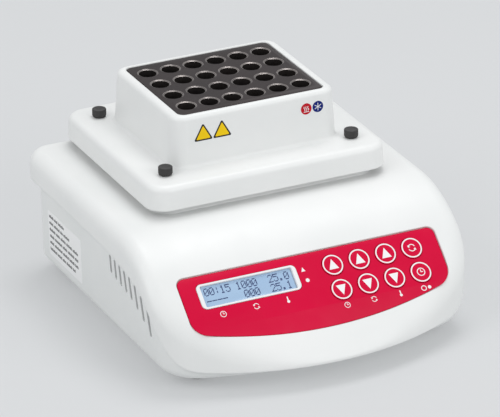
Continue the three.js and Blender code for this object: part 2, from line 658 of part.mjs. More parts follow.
function wellPlaces() {
  const places = [];
  for (let row = 0; row < WELL_ROWS; row += 1) {
    for (let column = 0; column < WELL_COLUMNS; column += 1) {
      places.push([(column - (WELL_COLUMNS - 1) / 2) * WELL_PITCH_X,
        (row - (WELL_ROWS - 1) / 2) * WELL_PITCH_Y]);
    }
  }
  return places;
}

// Each well is straight at its mouth and tapers to a blunt tip, as the tube does.
function heatingBlock() {
  const body = raised(rounded(BLOCK.halfX, BLOCK.halfY, 4), BLOCK.bottom, BLOCK.top, 0, 3);
  const straightEnd = BLOCK.top - WELL_STRAIGHT;
  const tip = BLOCK.top - WELL_DEPTH;
  const well = turned([[0, tip], [WELL_TIP, tip], [WELL_RADIUS, straightEnd],
    [WELL_RADIUS, BLOCK.top + 1], [0, BLOCK.top + 1]], 12);
  return cut(body, wellPlaces().map(([x, y]) => well.translate([x, y, 0])));
}

function insulation() {
  const { halfX, halfY, corner } = INSULATION;
  const top = CASE_HEIGHT - COLLAR.rim - 0.5;
  const outer = raised(rounded(halfX, halfY, corner), BLOCK.bottom + 0.5, top, 0, 3);
  const room = raised(rounded(BLOCK.halfX + 0.4, BLOCK.halfY + 0.4, 4.2), 0, CASE_HEIGHT, 0, 3);
  return cut(outer, room);
}

// The tray and its collar are one moulding, open below.
function blockCover() {
  const { halfX, halfY, bottom, top, corner, edge, wall } = TRAY;
  const tray = raised(rounded(halfX, halfY, corner), bottom - edge, top, edge)
    .subtract(box(-BEHIND, BEHIND, -BEHIND, BEHIND, 0, bottom));
  const trayRoom = raised(rounded(halfX - wall, halfY - wall, corner - wall), 0, top - wall);
  const collarPlan = rounded(COLLAR.halfX, COLLAR.halfY, COLLAR.corner);
  const collar = raised(collarPlan, top - 8, CASE_HEIGHT, COLLAR.edge);
  const collarRoom = raised(rounded(50.3, 42, 5.5), 0, CASE_HEIGHT - COLLAR.rim, 0, 3);
  const mouth = raised(rounded(BLOCK.halfX + 0.5, BLOCK.halfY + 0.5, 4.3), 0, CASE_HEIGHT + 1, 0, 3);
  const holes = screwCorners.map((place) => rod(1.9, 0, CASE_HEIGHT, place, 8));
  return cut(union(cut(tray, trayRoom), collar), collarRoom, mouth, holes, trayRoom);
}

// A knob with straight knurls on a shank that reaches into the platform's post.
function thumbscrew() {
  const { radius, height, shaft, reach } = THUMBSCREW;
  const ridges = 12;
  const outline = new THREE.Shape(Array.from({ length: ridges * 2 }, (_, i) => {
    const r = i % 2 ? radius : radius - 0.35;
    const angle = (i * Math.PI) / ridges;
    return new THREE.Vector2(r * Math.cos(angle), r * Math.sin(angle));
  }));
  const knob = raised(outline, TRAY.top + GAP, TRAY.top + GAP + height);
  return union(knob, rod(shaft, TRAY.top - TRAY.wall - reach, TRAY.top + 1, [0, 0], 8));
}

// ---------------------------------------------------------------- assembly

const heater = new THREE.Group();

function put(group, made, x = 0, y = 0, z = 0) {
  made.position.set(x, y, z);
  group.add(made);
  return made;
}

put(heater, mesh('top_cover', topCover(), whiteShell));
put(heater, mesh('lower_casing', lowerCasing(), whiteShell));
for (const [corner, [x, y]] of Object.entries(FOOT_PLACES)) {
  put(heater, mesh(`foot_${corner}`, foot(), rubber), x, y);
}
for (const [corner, [x, y]] of Object.entries(SCREW_PLACES)) {
  put(heater, mesh(`casing_screw_${corner}`, screwUp(11), steel), x, y, TUB_FLOOR_Z - GAP);
}

const slope = panelFrame();
heater.add(slope);
slope.add(mesh('control_panel', panelPlate(), redPanel));
slope.add(mesh('display_bezel', displayBezel(), whitePrint));
slope.add(mesh('display_module', displayModule(), blueDisplay));
slope.add(mesh('display_board', displayBoard(), board));
const keyNames = ['time_up', 'speed_up', 'temperature_up', 'shaker_start',
  'time_down', 'speed_down', 'temperature_down', 'timer_start'];
keyNames.forEach((name, i) => {
  put(slope, mesh(`key_${name}`, key(), redPanel), ...keyPlaces[i]);
});

put(heater, mesh('main_board', mainBoard(), board));
put(heater, mesh('ribbon_cable', ribbonCable(), cable));

const fan = new THREE.Group();
fan.position.set(FAN.x, FAN.y, TUB_FLOOR_Z + TUB_WALL + GAP + FAN.size / 2);
fan.rotation.y = -Math.PI / 2;
heater.add(fan);
fan.add(mesh('fan_frame', fanFrame(), blackPlastic));
fan.add(mesh('fan_rotor', fanRotor(), blackPlastic));

const rear = new THREE.Group();
rear.position.set(0, CASE_DEPTH / 2 - TUB_INSET, 0);
rear.rotation.x = -Math.PI / 2;
heater.add(rear);
put(rear, mesh('switch_housing', switchHousing(), blackPlastic), SWITCH.x, -SWITCH.z);
put(rear, mesh('power_rocker', rocker(), blackPlastic), SWITCH.x, -SWITCH.z);
put(rear, mesh('dc_inlet', dcInlet(), blackPlastic), INLET.x, -INLET.z);

const drive = new THREE.Group();
drive.position.y = DRIVE_Y;
heater.add(drive);
put(heater, mesh('chassis_plate', chassisPlate(), steel));
CHASSIS_POSTS.forEach(([x, y], i) => {
  const screw = put(heater, mesh(`chassis_screw_${i + 1}`, screwUp(10), steel), x, y, CHASSIS_Z[1] + GAP);
  screw.rotation.x = Math.PI;
});
drive.add(mesh('motor', motor(), steel));
drive.add(mesh('main_bearing', bearing(BEARING_RADIUS, SHAFT_RADIUS, CHASSIS_Z), steel));
drive.add(mesh('eccentric_shaft', eccentricShaft(), steel));
drive.add(mesh('counterweight', counterweight(), brass));
IDLER_PLACES.forEach(([x, y], i) => {
  const race = bearing(IDLER_BEARING_RADIUS, SHAFT_RADIUS, CHASSIS_Z);
  put(drive, mesh(`idler_bearing_${i + 1}`, race, steel), x, y);
  put(drive, mesh(`idler_crank_${i + 1}`, idlerCrank(), steel), x, y);
});

const platform = new THREE.Group();
platform.position.set(THROW, DRIVE_Y, 0);
heater.add(platform);
platform.add(mesh('platform_plate', platformPlate(), aluminium));
platform.add(mesh('platform_bearing', bearing(BEARING_RADIUS, SHAFT_RADIUS, PLATE_Z), steel));
platform.add(mesh('heat_sink', heatSink(), aluminium));
platform.add(mesh('thermo_module_left', thermoModule(-THERMO_MODULE.x), ceramic));
platform.add(mesh('thermo_module_right', thermoModule(THERMO_MODULE.x), ceramic));
const sensor = box(-2, 2, -5, 5, HEAT_SINK.top + GAP, BLOCK.bottom - GAP);
platform.add(mesh('temperature_sensor', sensor, steel));
platform.add(mesh('heating_block', heatingBlock(), darkBlock));
platform.add(mesh('insulation_frame', insulation(), foam));
platform.add(mesh('block_cover', blockCover(), whiteShell));
['front_left', 'front_right', 'rear_left', 'rear_right'].forEach((corner, i) => {
  put(platform, mesh(`thumbscrew_${corner}`, thumbscrew(), blackPlastic), ...screwCorners[i]);
});

export default heater;
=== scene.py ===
"""A dry block heater with a shaking platform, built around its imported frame.

Lengths in the geometry helpers are millimetres; objects are made in metres.
"""
import json
import math

import bmesh
import bpy
import numpy as np
from mathutils import Matrix, Vector


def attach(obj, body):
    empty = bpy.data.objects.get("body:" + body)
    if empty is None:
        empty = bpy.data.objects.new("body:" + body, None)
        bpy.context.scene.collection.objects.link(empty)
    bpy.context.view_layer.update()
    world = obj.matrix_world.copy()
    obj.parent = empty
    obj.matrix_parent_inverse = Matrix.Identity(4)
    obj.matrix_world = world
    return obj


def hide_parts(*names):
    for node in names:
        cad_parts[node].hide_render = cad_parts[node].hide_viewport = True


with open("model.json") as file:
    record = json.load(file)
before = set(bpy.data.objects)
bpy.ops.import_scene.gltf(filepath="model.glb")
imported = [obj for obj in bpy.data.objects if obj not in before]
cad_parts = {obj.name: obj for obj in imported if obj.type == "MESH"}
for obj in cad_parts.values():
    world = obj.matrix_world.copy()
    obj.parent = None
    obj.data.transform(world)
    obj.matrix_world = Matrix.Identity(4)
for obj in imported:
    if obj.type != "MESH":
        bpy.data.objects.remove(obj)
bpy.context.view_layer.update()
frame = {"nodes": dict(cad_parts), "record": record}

MM = 0.001
PI = math.pi

# ---------------------------------------------------------------- dimensions, in millimetres

DECK_Z = 78.5
PANEL_TILT = math.radians(41.5)
PANEL_TOP_Y = -64.5
PANEL_TOP_Z = 61.5
CHIN_Z = 13.0  # the cover's lower edge under the front
BAND = 19.5  # from the deck down to the cover's lower edge at the sides
BAND_SLOPE = 12.0  # the same, square to the sloping front
SKIN = 3.0

TUB_HALF_X = 97.5
TUB_FLOOR_Z = 6.5
TUB_EDGE = 6.5
TUB_WALL = 2.5
TUB_TAPER = 0.016
FLARE = 3.9  # how far the tub's side walls lean out at the front, FLARE_RISE above the floor
FLARE_RISE = 40
REAR_Y = 110.0
VENTS = 8
VENT_FIRST_Y = -7.4
VENT_PITCH = 7.9
VENT_HALF = 1.6
VENT_BELOW_SEAM = 2.2
VENT_LENGTHS = (12.0, 17.5)  # at the rear and at the front
FEET = {"front_left": (-72, -68), "front_right": (72, -68), "rear_left": (-78, 92), "rear_right": (78, 92)}
CASING_SCREWS = ((-84, -74), (84, -74), (-88, 78), (88, 78))

DRIVE_Y = 46.5
PLATFORM = (1.0, 46.5)
BLOCK_TOP = 129.6
WELL_PITCH = (15.0, 18.4)
CORNERS = ("front_left", "front_right", "rear_left", "rear_right")
COLLAR_SHOULDER_Z = 126.8

KEY_RADIUS = 6.6
KEY_COLUMNS = (14.0, 31.3, 48.6, 65.9)
KEY_ROWS = (-11.3, -27.3)
KEY_NAMES = ("time_up", "speed_up", "temperature_up", "shaker_start",
             "time_down", "speed_down", "temperature_down", "timer_start")
DISPLAY = (-41.0, -13.8)
GLASS_Z = -1.8
LEGEND_Z = (-0.72, -0.66)

SWITCH_X, INLET_X, REAR_Z = -74, -28, 34
ROCKER_TILT = math.radians(9)

ROLL_TANGENT = (DECK_Z - PANEL_TOP_Z) / math.sin(PANEL_TILT) - 1
ROLL_RADIUS = ROLL_TANGENT / math.tan(PANEL_TILT / 2)


def top_height(y, depth=0.0, slope_depth=None):
    """Height of the case's top face at y, lowered by depth at the deck and by slope_depth on the slope."""
    y = np.asarray(y, float)
    slope_depth = depth if slope_depth is None else slope_depth
    sine, cosine = math.sin(PANEL_TILT), math.cos(PANEL_TILT)
    radius = ROLL_RADIUS - depth
    centre_z = DECK_Z - depth - radius
    slope_y, slope_z = PANEL_TOP_Y + slope_depth * sine, PANEL_TOP_Z - slope_depth * cosine
    centre_y = slope_y + (radius + (centre_z - slope_z) * cosine) / sine
    tangent_y = centre_y - radius * sine
    arc_z = centre_z + np.sqrt(np.maximum(radius ** 2 - (centre_y - y) ** 2, 0))
    down_slope = centre_z + radius * cosine - (tangent_y - y) * math.tan(PANEL_TILT)
    return np.where(y >= centre_y, DECK_Z - depth, np.where(y > tangent_y, arc_z, down_slope))


def ease(start, end, value):
    """0 at start and 1 at end, level at both."""
    step = np.clip((np.asarray(value, float) - start) / (end - start), 0, 1)
    return step * step * (3 - 2 * step)


def seam_height(y):
    """Lower edge of the top cover: it follows the top face down and is level under the front."""
    dive = ease(-64, -86, y)
    above, soft = top_height(y, BAND, BAND_SLOPE) - CHIN_Z - 9 * dive, 2.0
    return CHIN_Z + (above + np.sqrt(above ** 2 + soft ** 2)) / 2


def tub_half(y, z):
    """How far the lower casing's side wall stands out: it leans out above the floor, towards the front."""
    forward = ease(40, -60, y)
    taper = TUB_TAPER * np.maximum(0, (DECK_Z - z) / DECK_Z)
    return TUB_HALF_X * (1 - taper) + FLARE * forward * (z - TUB_FLOOR_Z) / FLARE_RISE


# ---------------------------------------------------------------- outlines

def arc(x, y, radius, start, end, count):
    """Points and outward normals on an arc."""
    angles = np.linspace(start, end, count + 1)
    normal = np.stack([np.cos(angles), np.sin(angles)], axis=1)
    return np.array([x, y]) + radius * normal, normal


def between(a, b, normal, count):
    """Points strictly between a and b, with one normal."""
    steps = np.linspace(0, 1, count + 2)[1:-1, None]
    return np.array(a) * (1 - steps) + np.array(b) * steps, np.tile(normal, (count, 1))


def bowed(half_x, back_y, front_y, back_corner, front_corner, bow):
    """A rectangle whose front bows out on one radius; every outline has matching points."""
    bow_y = front_y + bow
    corner_x = half_x - front_corner
    corner_y = bow_y - math.sqrt((bow - front_corner) ** 2 - corner_x ** 2)
    meet = math.atan2(bow_y - corner_y, corner_x)
    back_x, back_in_y = half_x - back_corner, back_y - back_corner
    front = arc(0, bow_y, bow, PI + meet, 2 * PI - meet, 36)
    parts = [
        arc(back_x, back_in_y, back_corner, 0, PI / 2, 12),
        between((back_x, back_y), (-back_x, back_y), (0, 1), 12),
        arc(-back_x, back_in_y, back_corner, PI / 2, PI, 12),
        between((-half_x, back_in_y), (-half_x, corner_y), (-1, 0), 44),
        arc(-corner_x, corner_y, front_corner, PI, PI + meet, 18),
        (front[0][1:-1], front[1][1:-1]),
        arc(corner_x, corner_y, front_corner, 2 * PI - meet, 2 * PI, 18),
        between((half_x, corner_y), (half_x, back_in_y), (1, 0), 44),
    ]
    return np.concatenate([p[0] for p in parts]), np.concatenate([p[1] for p in parts])


def case_plan(inset=0.0):
    return bowed(102.5 - inset, 115 - inset, -115 + inset, 14 - inset, 32 - inset, 165 - inset)


def tub_plan(inset=0.0):
    return bowed(TUB_HALF_X - inset, REAR_Y - inset, -104 + inset, 11 - inset, 26 - inset, 260 - inset)


def rounded(half_x, half_y, corner, x=0.0, y=0.0, count=8):
    parts = [arc(x + sx * (half_x - corner), y + sy * (half_y - corner), corner, start,
                 start + PI / 2, count)[0]
             for sx, sy, start in ((1, 1, 0), (-1, 1, PI / 2), (-1, -1, PI), (1, -1, PI * 1.5))]
    return np.concatenate(parts)


def circle(radius, x=0.0, y=0.0, sides=48):
    angles = np.arange(sides) * 2 * PI / sides
    return np.stack([x + radius * np.cos(angles), y + radius * np.sin(angles)], axis=1)


def onto_slope(points):
    """From the control panel's own frame (x across, y up the slope, z out of it)."""
    p = np.asarray(points, float)
    c, s = math.cos(PANEL_TILT), math.sin(PANEL_TILT)
    return np.stack([p[:, 0], PANEL_TOP_Y + p[:, 1] * c - p[:, 2] * s,
                     PANEL_TOP_Z + p[:, 1] * s + p[:, 2] * c], axis=1)


def onto_rear(points):
    """From a frame on the rear wall: x as it is, y up, z out towards the back."""
    p = np.asarray(points, float)
    return np.stack([p[:, 0], REAR_Y + p[:, 2], p[:, 1]], axis=1)


def shifted(x, y, z=0.0):
    return lambda points: np.asarray(points, float) + np.array([x, y, z])


# ---------------------------------------------------------------- solids as vertices and faces

class Solid:
    """Vertices in millimetres and faces, which can be joined to others."""

    def __init__(self, verts=(), faces=()):
        self.verts = [tuple(v) for v in verts]
        self.faces = [tuple(f) for f in faces]

    def add(self, other):
        start = len(self.verts)
        self.verts += other.verts
        self.faces += [tuple(i + start for i in f) for f in other.faces]
        return self

    def placed(self, where):
        return Solid(where(np.array(self.verts)), self.faces)


def level(outline, z):
    """A ring at height z, which may be one number or one for each point."""
    return np.column_stack([outline, np.broadcast_to(z, (len(outline),))])


def loft(rings, wrap=False, caps=True):
    """Skins over rings of matching points; wrap joins the last ring to the first."""
    count, size = len(rings), len(rings[0])
    faces = []
    for i in range(count if wrap else count - 1):
        a, b = i * size, ((i + 1) % count) * size
        for k in range(size):
            n = (k + 1) % size
            faces.append((a + k, a + n, b + n, b + k))
    if not wrap and caps:
        faces.append(tuple(range(size))[::-1])
        faces.append(tuple((count - 1) * size + k for k in range(size)))
    return Solid(np.concatenate(rings), faces)


def prism(outline_at, z0, z1, edge=0.0, steps=3, both=False):
    """A raised outline with its top edge rounded. outline_at(inset) gives the outline."""
    rings = []
    if both and edge:
        for i in range(steps + 1):
            a = i / steps * PI / 2
            rings.append(level(outline_at(edge * (1 - math.sin(a))), z0 + edge * (1 - math.cos(a))))
    else:
        rings.append(level(outline_at(0.0), z0))
    if edge:
        for i in range(steps + 1):
            a = i / steps * PI / 2
            rings.append(level(outline_at(edge * (1 - math.cos(a))), z1 - edge * (1 - math.sin(a))))
    else:
        rings.append(level(outline_at(0.0), z1))
    return loft(rings)


def turned(profile, sides=48, ripple=0.0, ridges=0):
    """A body of revolution from (radius, z) pairs; where a third value is set, it is knurled."""
    angles = np.arange(sides) * 2 * PI / sides
    wave = np.abs((angles * ridges / PI) % 2 - 1) if ridges else np.zeros(sides)
    verts, faces, rings = [], [], []
    for entry in profile:
        r, z = entry[:2]
        if r < 1e-6:
            rings.append([len(verts)])
            verts.append((0, 0, z))
            continue
        depth = ripple * (entry[2] if len(entry) > 2 else 0)
        radii = r - depth * wave
        rings.append(list(range(len(verts), len(verts) + sides)))
        verts += [(q * math.cos(a), q * math.sin(a), z) for q, a in zip(radii, angles)]
    for a, b in zip(rings, rings[1:]):
        for k in range(sides):
            n = (k + 1) % sides
            if len(a) == 1:
                faces.append((a[0], b[n], b[k]))
            elif len(b) == 1:
                faces.append((a[k], a[n], b[0]))
            else:
                faces.append((a[k], a[n], b[n], b[k]))
    return Solid(verts, faces)


def ring_profile(points, sides=64):
    """A closed ring of revolution, from a closed (radius, z) section."""
    angles = np.arange(sides) * 2 * PI / sides
    rings = [np.array([(r * math.cos(a), r * math.sin(a), z) for a in angles]) for r, z in points]
    return loft(rings, wrap=True)


def round_corner(x0, z0, x1, z1, steps=4):
    """Points on a quarter ellipse from (x0, z0), leaving along z, to (x1, z1), along x."""
    return [(x1 + (x0 - x1) * math.cos(i / steps * PI / 2), z0 + (z1 - z0) * math.sin(i / steps * PI / 2))
            for i in range(steps + 1)]


def flat(points, z0, z1):
    """A thin plate with the given outline."""
    outline = np.asarray(points, float)
    return loft([level(outline, z0), level(outline, z1)])


# ---------------------------------------------------------------- objects

def raw_object(name, made):
    mesh = bpy.data.meshes.new(name)
    mesh.from_pydata([tuple(c * MM for c in v) for v in made.verts], [], made.faces)
    mesh.validate()
    mesh.update()
    obj = bpy.data.objects.new(name, mesh)
    bpy.context.scene.collection.objects.link(obj)
    return obj


def outward(obj):
    """Turns every face outwards."""
    work = bmesh.new()
    work.from_mesh(obj.data)
    bmesh.ops.remove_doubles(work, verts=work.verts, dist=1e-7)
    bmesh.ops.recalc_face_normals(work, faces=work.faces)
    work.to_mesh(obj.data)
    work.free()


def carve(obj, *cutters):
    """Cuts solids out of an object, one after another."""
    outward(obj)
    for i, made in enumerate(cutters):
        tool = raw_object(f"{obj.name}_cutter_{i}", made)
        outward(tool)
        step = obj.modifiers.new("cut", "BOOLEAN")
        step.operation, step.solver, step.object = "DIFFERENCE", "EXACT", tool
        graph = bpy.context.evaluated_depsgraph_get()
        cut_mesh = bpy.data.meshes.new_from_object(obj.evaluated_get(graph))
        obj.modifiers.clear()
        old, obj.data = obj.data, cut_mesh
        bpy.data.meshes.remove(old)
        tool_mesh = tool.data
        bpy.data.objects.remove(tool)
        bpy.data.meshes.remove(tool_mesh)
    return obj


def dress(obj, body, look, replaced=(), sharp=34):
    """Shades a piece, gives it its material and puts it on its body."""
    outward(obj)
    for polygon in obj.data.polygons:
        polygon.use_smooth = True
    obj.data.set_sharp_from_angle(angle=math.radians(sharp))
    obj.data.materials.clear()
    obj.data.materials.append(look)
    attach(obj, body)
    if replaced:
        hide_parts(*replaced)
    return obj


def piece(name, made, body, look, replaced=(), sharp=34, cutters=()):
    obj = raw_object(name, made)
    if cutters:
        carve(obj, *cutters)
    return dress(obj, body, look, replaced, sharp)


# ---------------------------------------------------------------- materials

def start_material(name, color, roughness, **settings):
    look = bpy.data.materials.new(name)
    look.use_nodes = True
    shader = look.node_tree.nodes["Principled BSDF"]
    shader.inputs["Base Color"].default_value = (*color, 1)
    shader.inputs["Roughness"].default_value = roughness
    for key, value in settings.items():
        shader.inputs[key.replace("_", " ")].default_value = value
    return look, look.node_tree, shader


def node(tree, kind, **values):
    made = tree.nodes.new(kind)
    for key, value in values.items():
        if key in made.inputs:
            made.inputs[key].default_value = value
        else:
            setattr(made, key, value)
    return made


def noise(tree, scale, detail=3.0, stretch=None):
    """Noise in object space, in features per metre."""
    place = node(tree, "ShaderNodeTexCoord")
    texture = node(tree, "ShaderNodeTexNoise", Scale=scale, Detail=detail)
    if stretch:
        turn = node(tree, "ShaderNodeMapping")
        turn.inputs["Scale"].default_value = stretch
        tree.links.new(place.outputs["Object"], turn.inputs["Vector"])
        tree.links.new(turn.outputs["Vector"], texture.inputs["Vector"])
    else:
        tree.links.new(place.outputs["Object"], texture.inputs["Vector"])
    return texture.outputs["Fac"]


def spread(tree, value, low, high, at=(0.35, 0.65)):
    """Maps a noise value to the range low to high."""
    mapped = node(tree, "ShaderNodeMapRange")
    mapped.inputs["From Min"].default_value, mapped.inputs["From Max"].default_value = at
    mapped.inputs["To Min"].default_value, mapped.inputs["To Max"].default_value = low, high
    tree.links.new(value, mapped.inputs["Value"])
    return mapped.outputs["Result"]


def vary_color(tree, shader, value, first, second, at=(0.35, 0.65)):
    mix = node(tree, "ShaderNodeMix", data_type="RGBA")
    mix.inputs["A"].default_value = (*first, 1)
    mix.inputs["B"].default_value = (*second, 1)
    tree.links.new(spread(tree, value, 0, 1, at), mix.inputs["Factor"])
    tree.links.new(mix.outputs["Result"], shader.inputs["Base Color"])
    return mix


def bump(tree, shader, value, strength, distance):
    made = node(tree, "ShaderNodeBump", Strength=strength, Distance=distance)
    tree.links.new(value, made.inputs["Height"])
    earlier = shader.inputs["Normal"].links
    if earlier:
        tree.links.new(earlier[0].from_socket, made.inputs["Normal"])
    tree.links.new(made.outputs["Normal"], shader.inputs["Normal"])


def plastic(name, color, roughness, second=None, grain=2600, depth=0.00002, specular=0.5):
    """Moulded plastic: a fine spark-eroded grain, and soft patches in tone and gloss."""
    look, tree, shader = start_material(name, color, roughness)
    shader.inputs["Specular IOR Level"].default_value = specular
    second = second or tuple(c * 0.97 for c in color)
    vary_color(tree, shader, noise(tree, 18, 4), color, second)
    tree.links.new(spread(tree, noise(tree, 60, 4), roughness - 0.05, roughness + 0.05),
                   shader.inputs["Roughness"])
    bump(tree, shader, noise(tree, grain, 2), 0.25, depth)
    bump(tree, shader, noise(tree, 35, 2), 0.12, 0.0001)
    return look


def metal(name, color, roughness, second, stretch=(1, 1, 1), grain=900, metallic=1.0):
    """Machined metal: brushed along one direction, with duller patches and worn edges."""
    look, tree, shader = start_material(name, color, roughness, Metallic=metallic)
    mix = vary_color(tree, shader, noise(tree, 40, 5), color, second)
    brushed = noise(tree, grain, 3, stretch)
    tree.links.new(spread(tree, brushed, roughness - 0.08, roughness + 0.1), shader.inputs["Roughness"])
    bump(tree, shader, brushed, 0.3, 0.00002)
    worn = node(tree, "ShaderNodeNewGeometry")
    edge = spread(tree, worn.outputs["Pointiness"], 0, 0.55, (0.52, 0.6))
    bright = node(tree, "ShaderNodeMix", data_type="RGBA")
    bright.inputs["B"].default_value = (*[min(1, c * 1.35 + 0.04) for c in color], 1)
    tree.links.new(edge, bright.inputs["Factor"])
    tree.links.new(mix.outputs["Result"], bright.inputs["A"])
    tree.links.new(bright.outputs["Result"], shader.inputs["Base Color"])
    return look


def foil_material():
    """Printed polyester foil: crimson under a clear, finely textured face."""
    look, tree, shader = start_material("crimson_foil", (0.66, 0.002, 0.045), 0.4)
    shader.inputs["Specular IOR Level"].default_value = 0.12
    vary_color(tree, shader, noise(tree, 14, 3), (0.675, 0.0022, 0.047), (0.63, 0.0018, 0.041))
    tree.links.new(spread(tree, noise(tree, 90, 3), 0.30, 0.42), shader.inputs["Roughness"])
    bump(tree, shader, noise(tree, 5200, 1), 0.18, 0.00001)
    bump(tree, shader, noise(tree, 22, 1), 0.10, 0.0001)
    return look


def lcd_material():
    """A lit liquid-crystal panel: pale blue, a little uneven, with a fine bump on its face."""
    look, tree, shader = start_material("lcd_blue", (0.36, 0.58, 0.80), 0.16)
    shader.inputs["Coat Weight"].default_value = 0.6
    shader.inputs["Coat Roughness"].default_value = 0.05
    vary_color(tree, shader, noise(tree, 30, 2), (0.30, 0.43, 0.61), (0.35, 0.49, 0.66))
    shader.inputs["Emission Color"].default_value = (0.30, 0.48, 0.72, 1)
    shader.inputs["Emission Strength"].default_value = 0.10
    bump(tree, shader, noise(tree, 3000, 1), 0.08, 0.00001)
    return look


def board_material():
    """Solder-mask green with the darker runs of its tracks."""
    look, tree, shader = start_material("board_green", (0.02, 0.16, 0.06), 0.4)
    place = node(tree, "ShaderNodeTexCoord")
    bricks = node(tree, "ShaderNodeTexBrick", Scale=180.0)
    bricks.inputs["Color1"].default_value = (0.02, 0.17, 0.06, 1)
    bricks.inputs["Color2"].default_value = (0.015, 0.13, 0.05, 1)
    bricks.inputs["Mortar"].default_value = (0.04, 0.24, 0.09, 1)
    bricks.inputs["Mortar Size"].default_value = 0.06
    tree.links.new(place.outputs["Object"], bricks.inputs["Vector"])
    tree.links.new(bricks.outputs["Color"], shader.inputs["Base Color"])
    tree.links.new(spread(tree, noise(tree, 120, 2), 0.3, 0.5), shader.inputs["Roughness"])
    bump(tree, shader, bricks.outputs["Fac"], 0.3, 0.00005)
    return look


white_shell = plastic("satin_white", (0.83, 0.835, 0.825), 0.42, (0.80, 0.81, 0.80))
white_tub = plastic("satin_white_lower", (0.80, 0.81, 0.80), 0.46, (0.77, 0.785, 0.775))
white_print = plastic("white_print", (0.88, 0.88, 0.88), 0.45, depth=0.000005)
white_bezel = plastic("white_bezel", (0.86, 0.865, 0.87), 0.38, depth=0.00001)
crimson = foil_material()
lcd_blue = lcd_material()
lcd_ink = plastic("lcd_ink", (0.012, 0.022, 0.12), 0.35, depth=0.000003)
black_plastic = plastic("black_plastic", (0.028, 0.026, 0.026), 0.48, (0.036, 0.034, 0.034), 1800, 0.00004)
rubber = plastic("rubber", (0.018, 0.018, 0.019), 0.8, (0.03, 0.03, 0.03), 1400, 0.00006)
dark_gasket = plastic("dark_gasket", (0.02, 0.019, 0.019), 0.6)
block_metal = metal("anodised_block", (0.044, 0.034, 0.034), 0.5, (0.037, 0.029, 0.029),
                    (1, 14, 1), 700, 0.55)
# Bright bare-metal colour, used only on thin bands at the wells' rims as painted highlight lines.
rim_highlight_metal = metal("rim_painted_highlight", (0.42, 0.38, 0.36), 0.30, (0.32, 0.29, 0.28),
                      (1, 1, 12), 900, 0.5)
# Darker anodising for the wells' insides and the middle of their chamfers: painted shade in the recesses.
well_painted_shade = metal("anodised_well_painted_shade", (0.03, 0.024, 0.022), 0.45, (0.018, 0.015, 0.014), (1, 1, 10), 600, 0.5)
steel = metal("steel", (0.52, 0.53, 0.55), 0.32, (0.42, 0.43, 0.45), (1, 8, 1))
brass = metal("brass", (0.60, 0.44, 0.15), 0.34, (0.48, 0.33, 0.10), (8, 1, 1))
aluminium = metal("aluminium", (0.66, 0.67, 0.69), 0.36, (0.56, 0.57, 0.6), (1, 10, 1))
board_green = board_material()
ceramic = plastic("ceramic", (0.78, 0.77, 0.73), 0.55, (0.72, 0.71, 0.67), 1500, 0.00003)
foam = plastic("foam", (0.04, 0.04, 0.043), 0.9, (0.07, 0.07, 0.075), 700, 0.0004)
cable_grey = plastic("cable_grey", (0.45, 0.46, 0.48), 0.5)
label_white = plastic("label_white", (0.90, 0.90, 0.90), 0.5, depth=0.000005)
label_ink = plastic("label_ink", (0.02, 0.02, 0.022), 0.5, depth=0.000003, specular=0.15)
sign_yellow = plastic("sign_yellow", (0.90, 0.60, 0.008), 0.45, depth=0.000005, specular=0.12)
mark_red = plastic("mark_red", (0.52, 0.008, 0.02), 0.45, depth=0.000005, specular=0.12)
mark_blue = plastic("mark_blue", (0.006, 0.018, 0.17), 0.45, depth=0.000005, specular=0.12)

# ---------------------------------------------------------------- case


def case_ring(inset, z_of):
    """A ring at a given inset from the case's outline; z_of takes its points' y."""
    outline, normal = case_plan()
    points = outline - normal * np.broadcast_to(inset, (len(outline),))[:, None]
    return level(points, z_of(points[:, 1]))


def aperture(grow):
    outline, _ = bowed(70 + grow, DRIVE_Y + 59.5 + grow, DRIVE_Y - 59.5 - grow, 10 + grow, 10 + grow, 1e5)
    return outline + np.array([0.5, 0])


def tub_ring(inset, z):
    """A ring of the lower casing at height z, which may be one number or one for each point."""
    ring = level(tub_plan(inset)[0], z)
    ring[:, 0] *= tub_half(ring[:, 1], ring[:, 2]) / TUB_HALF_X
    return ring


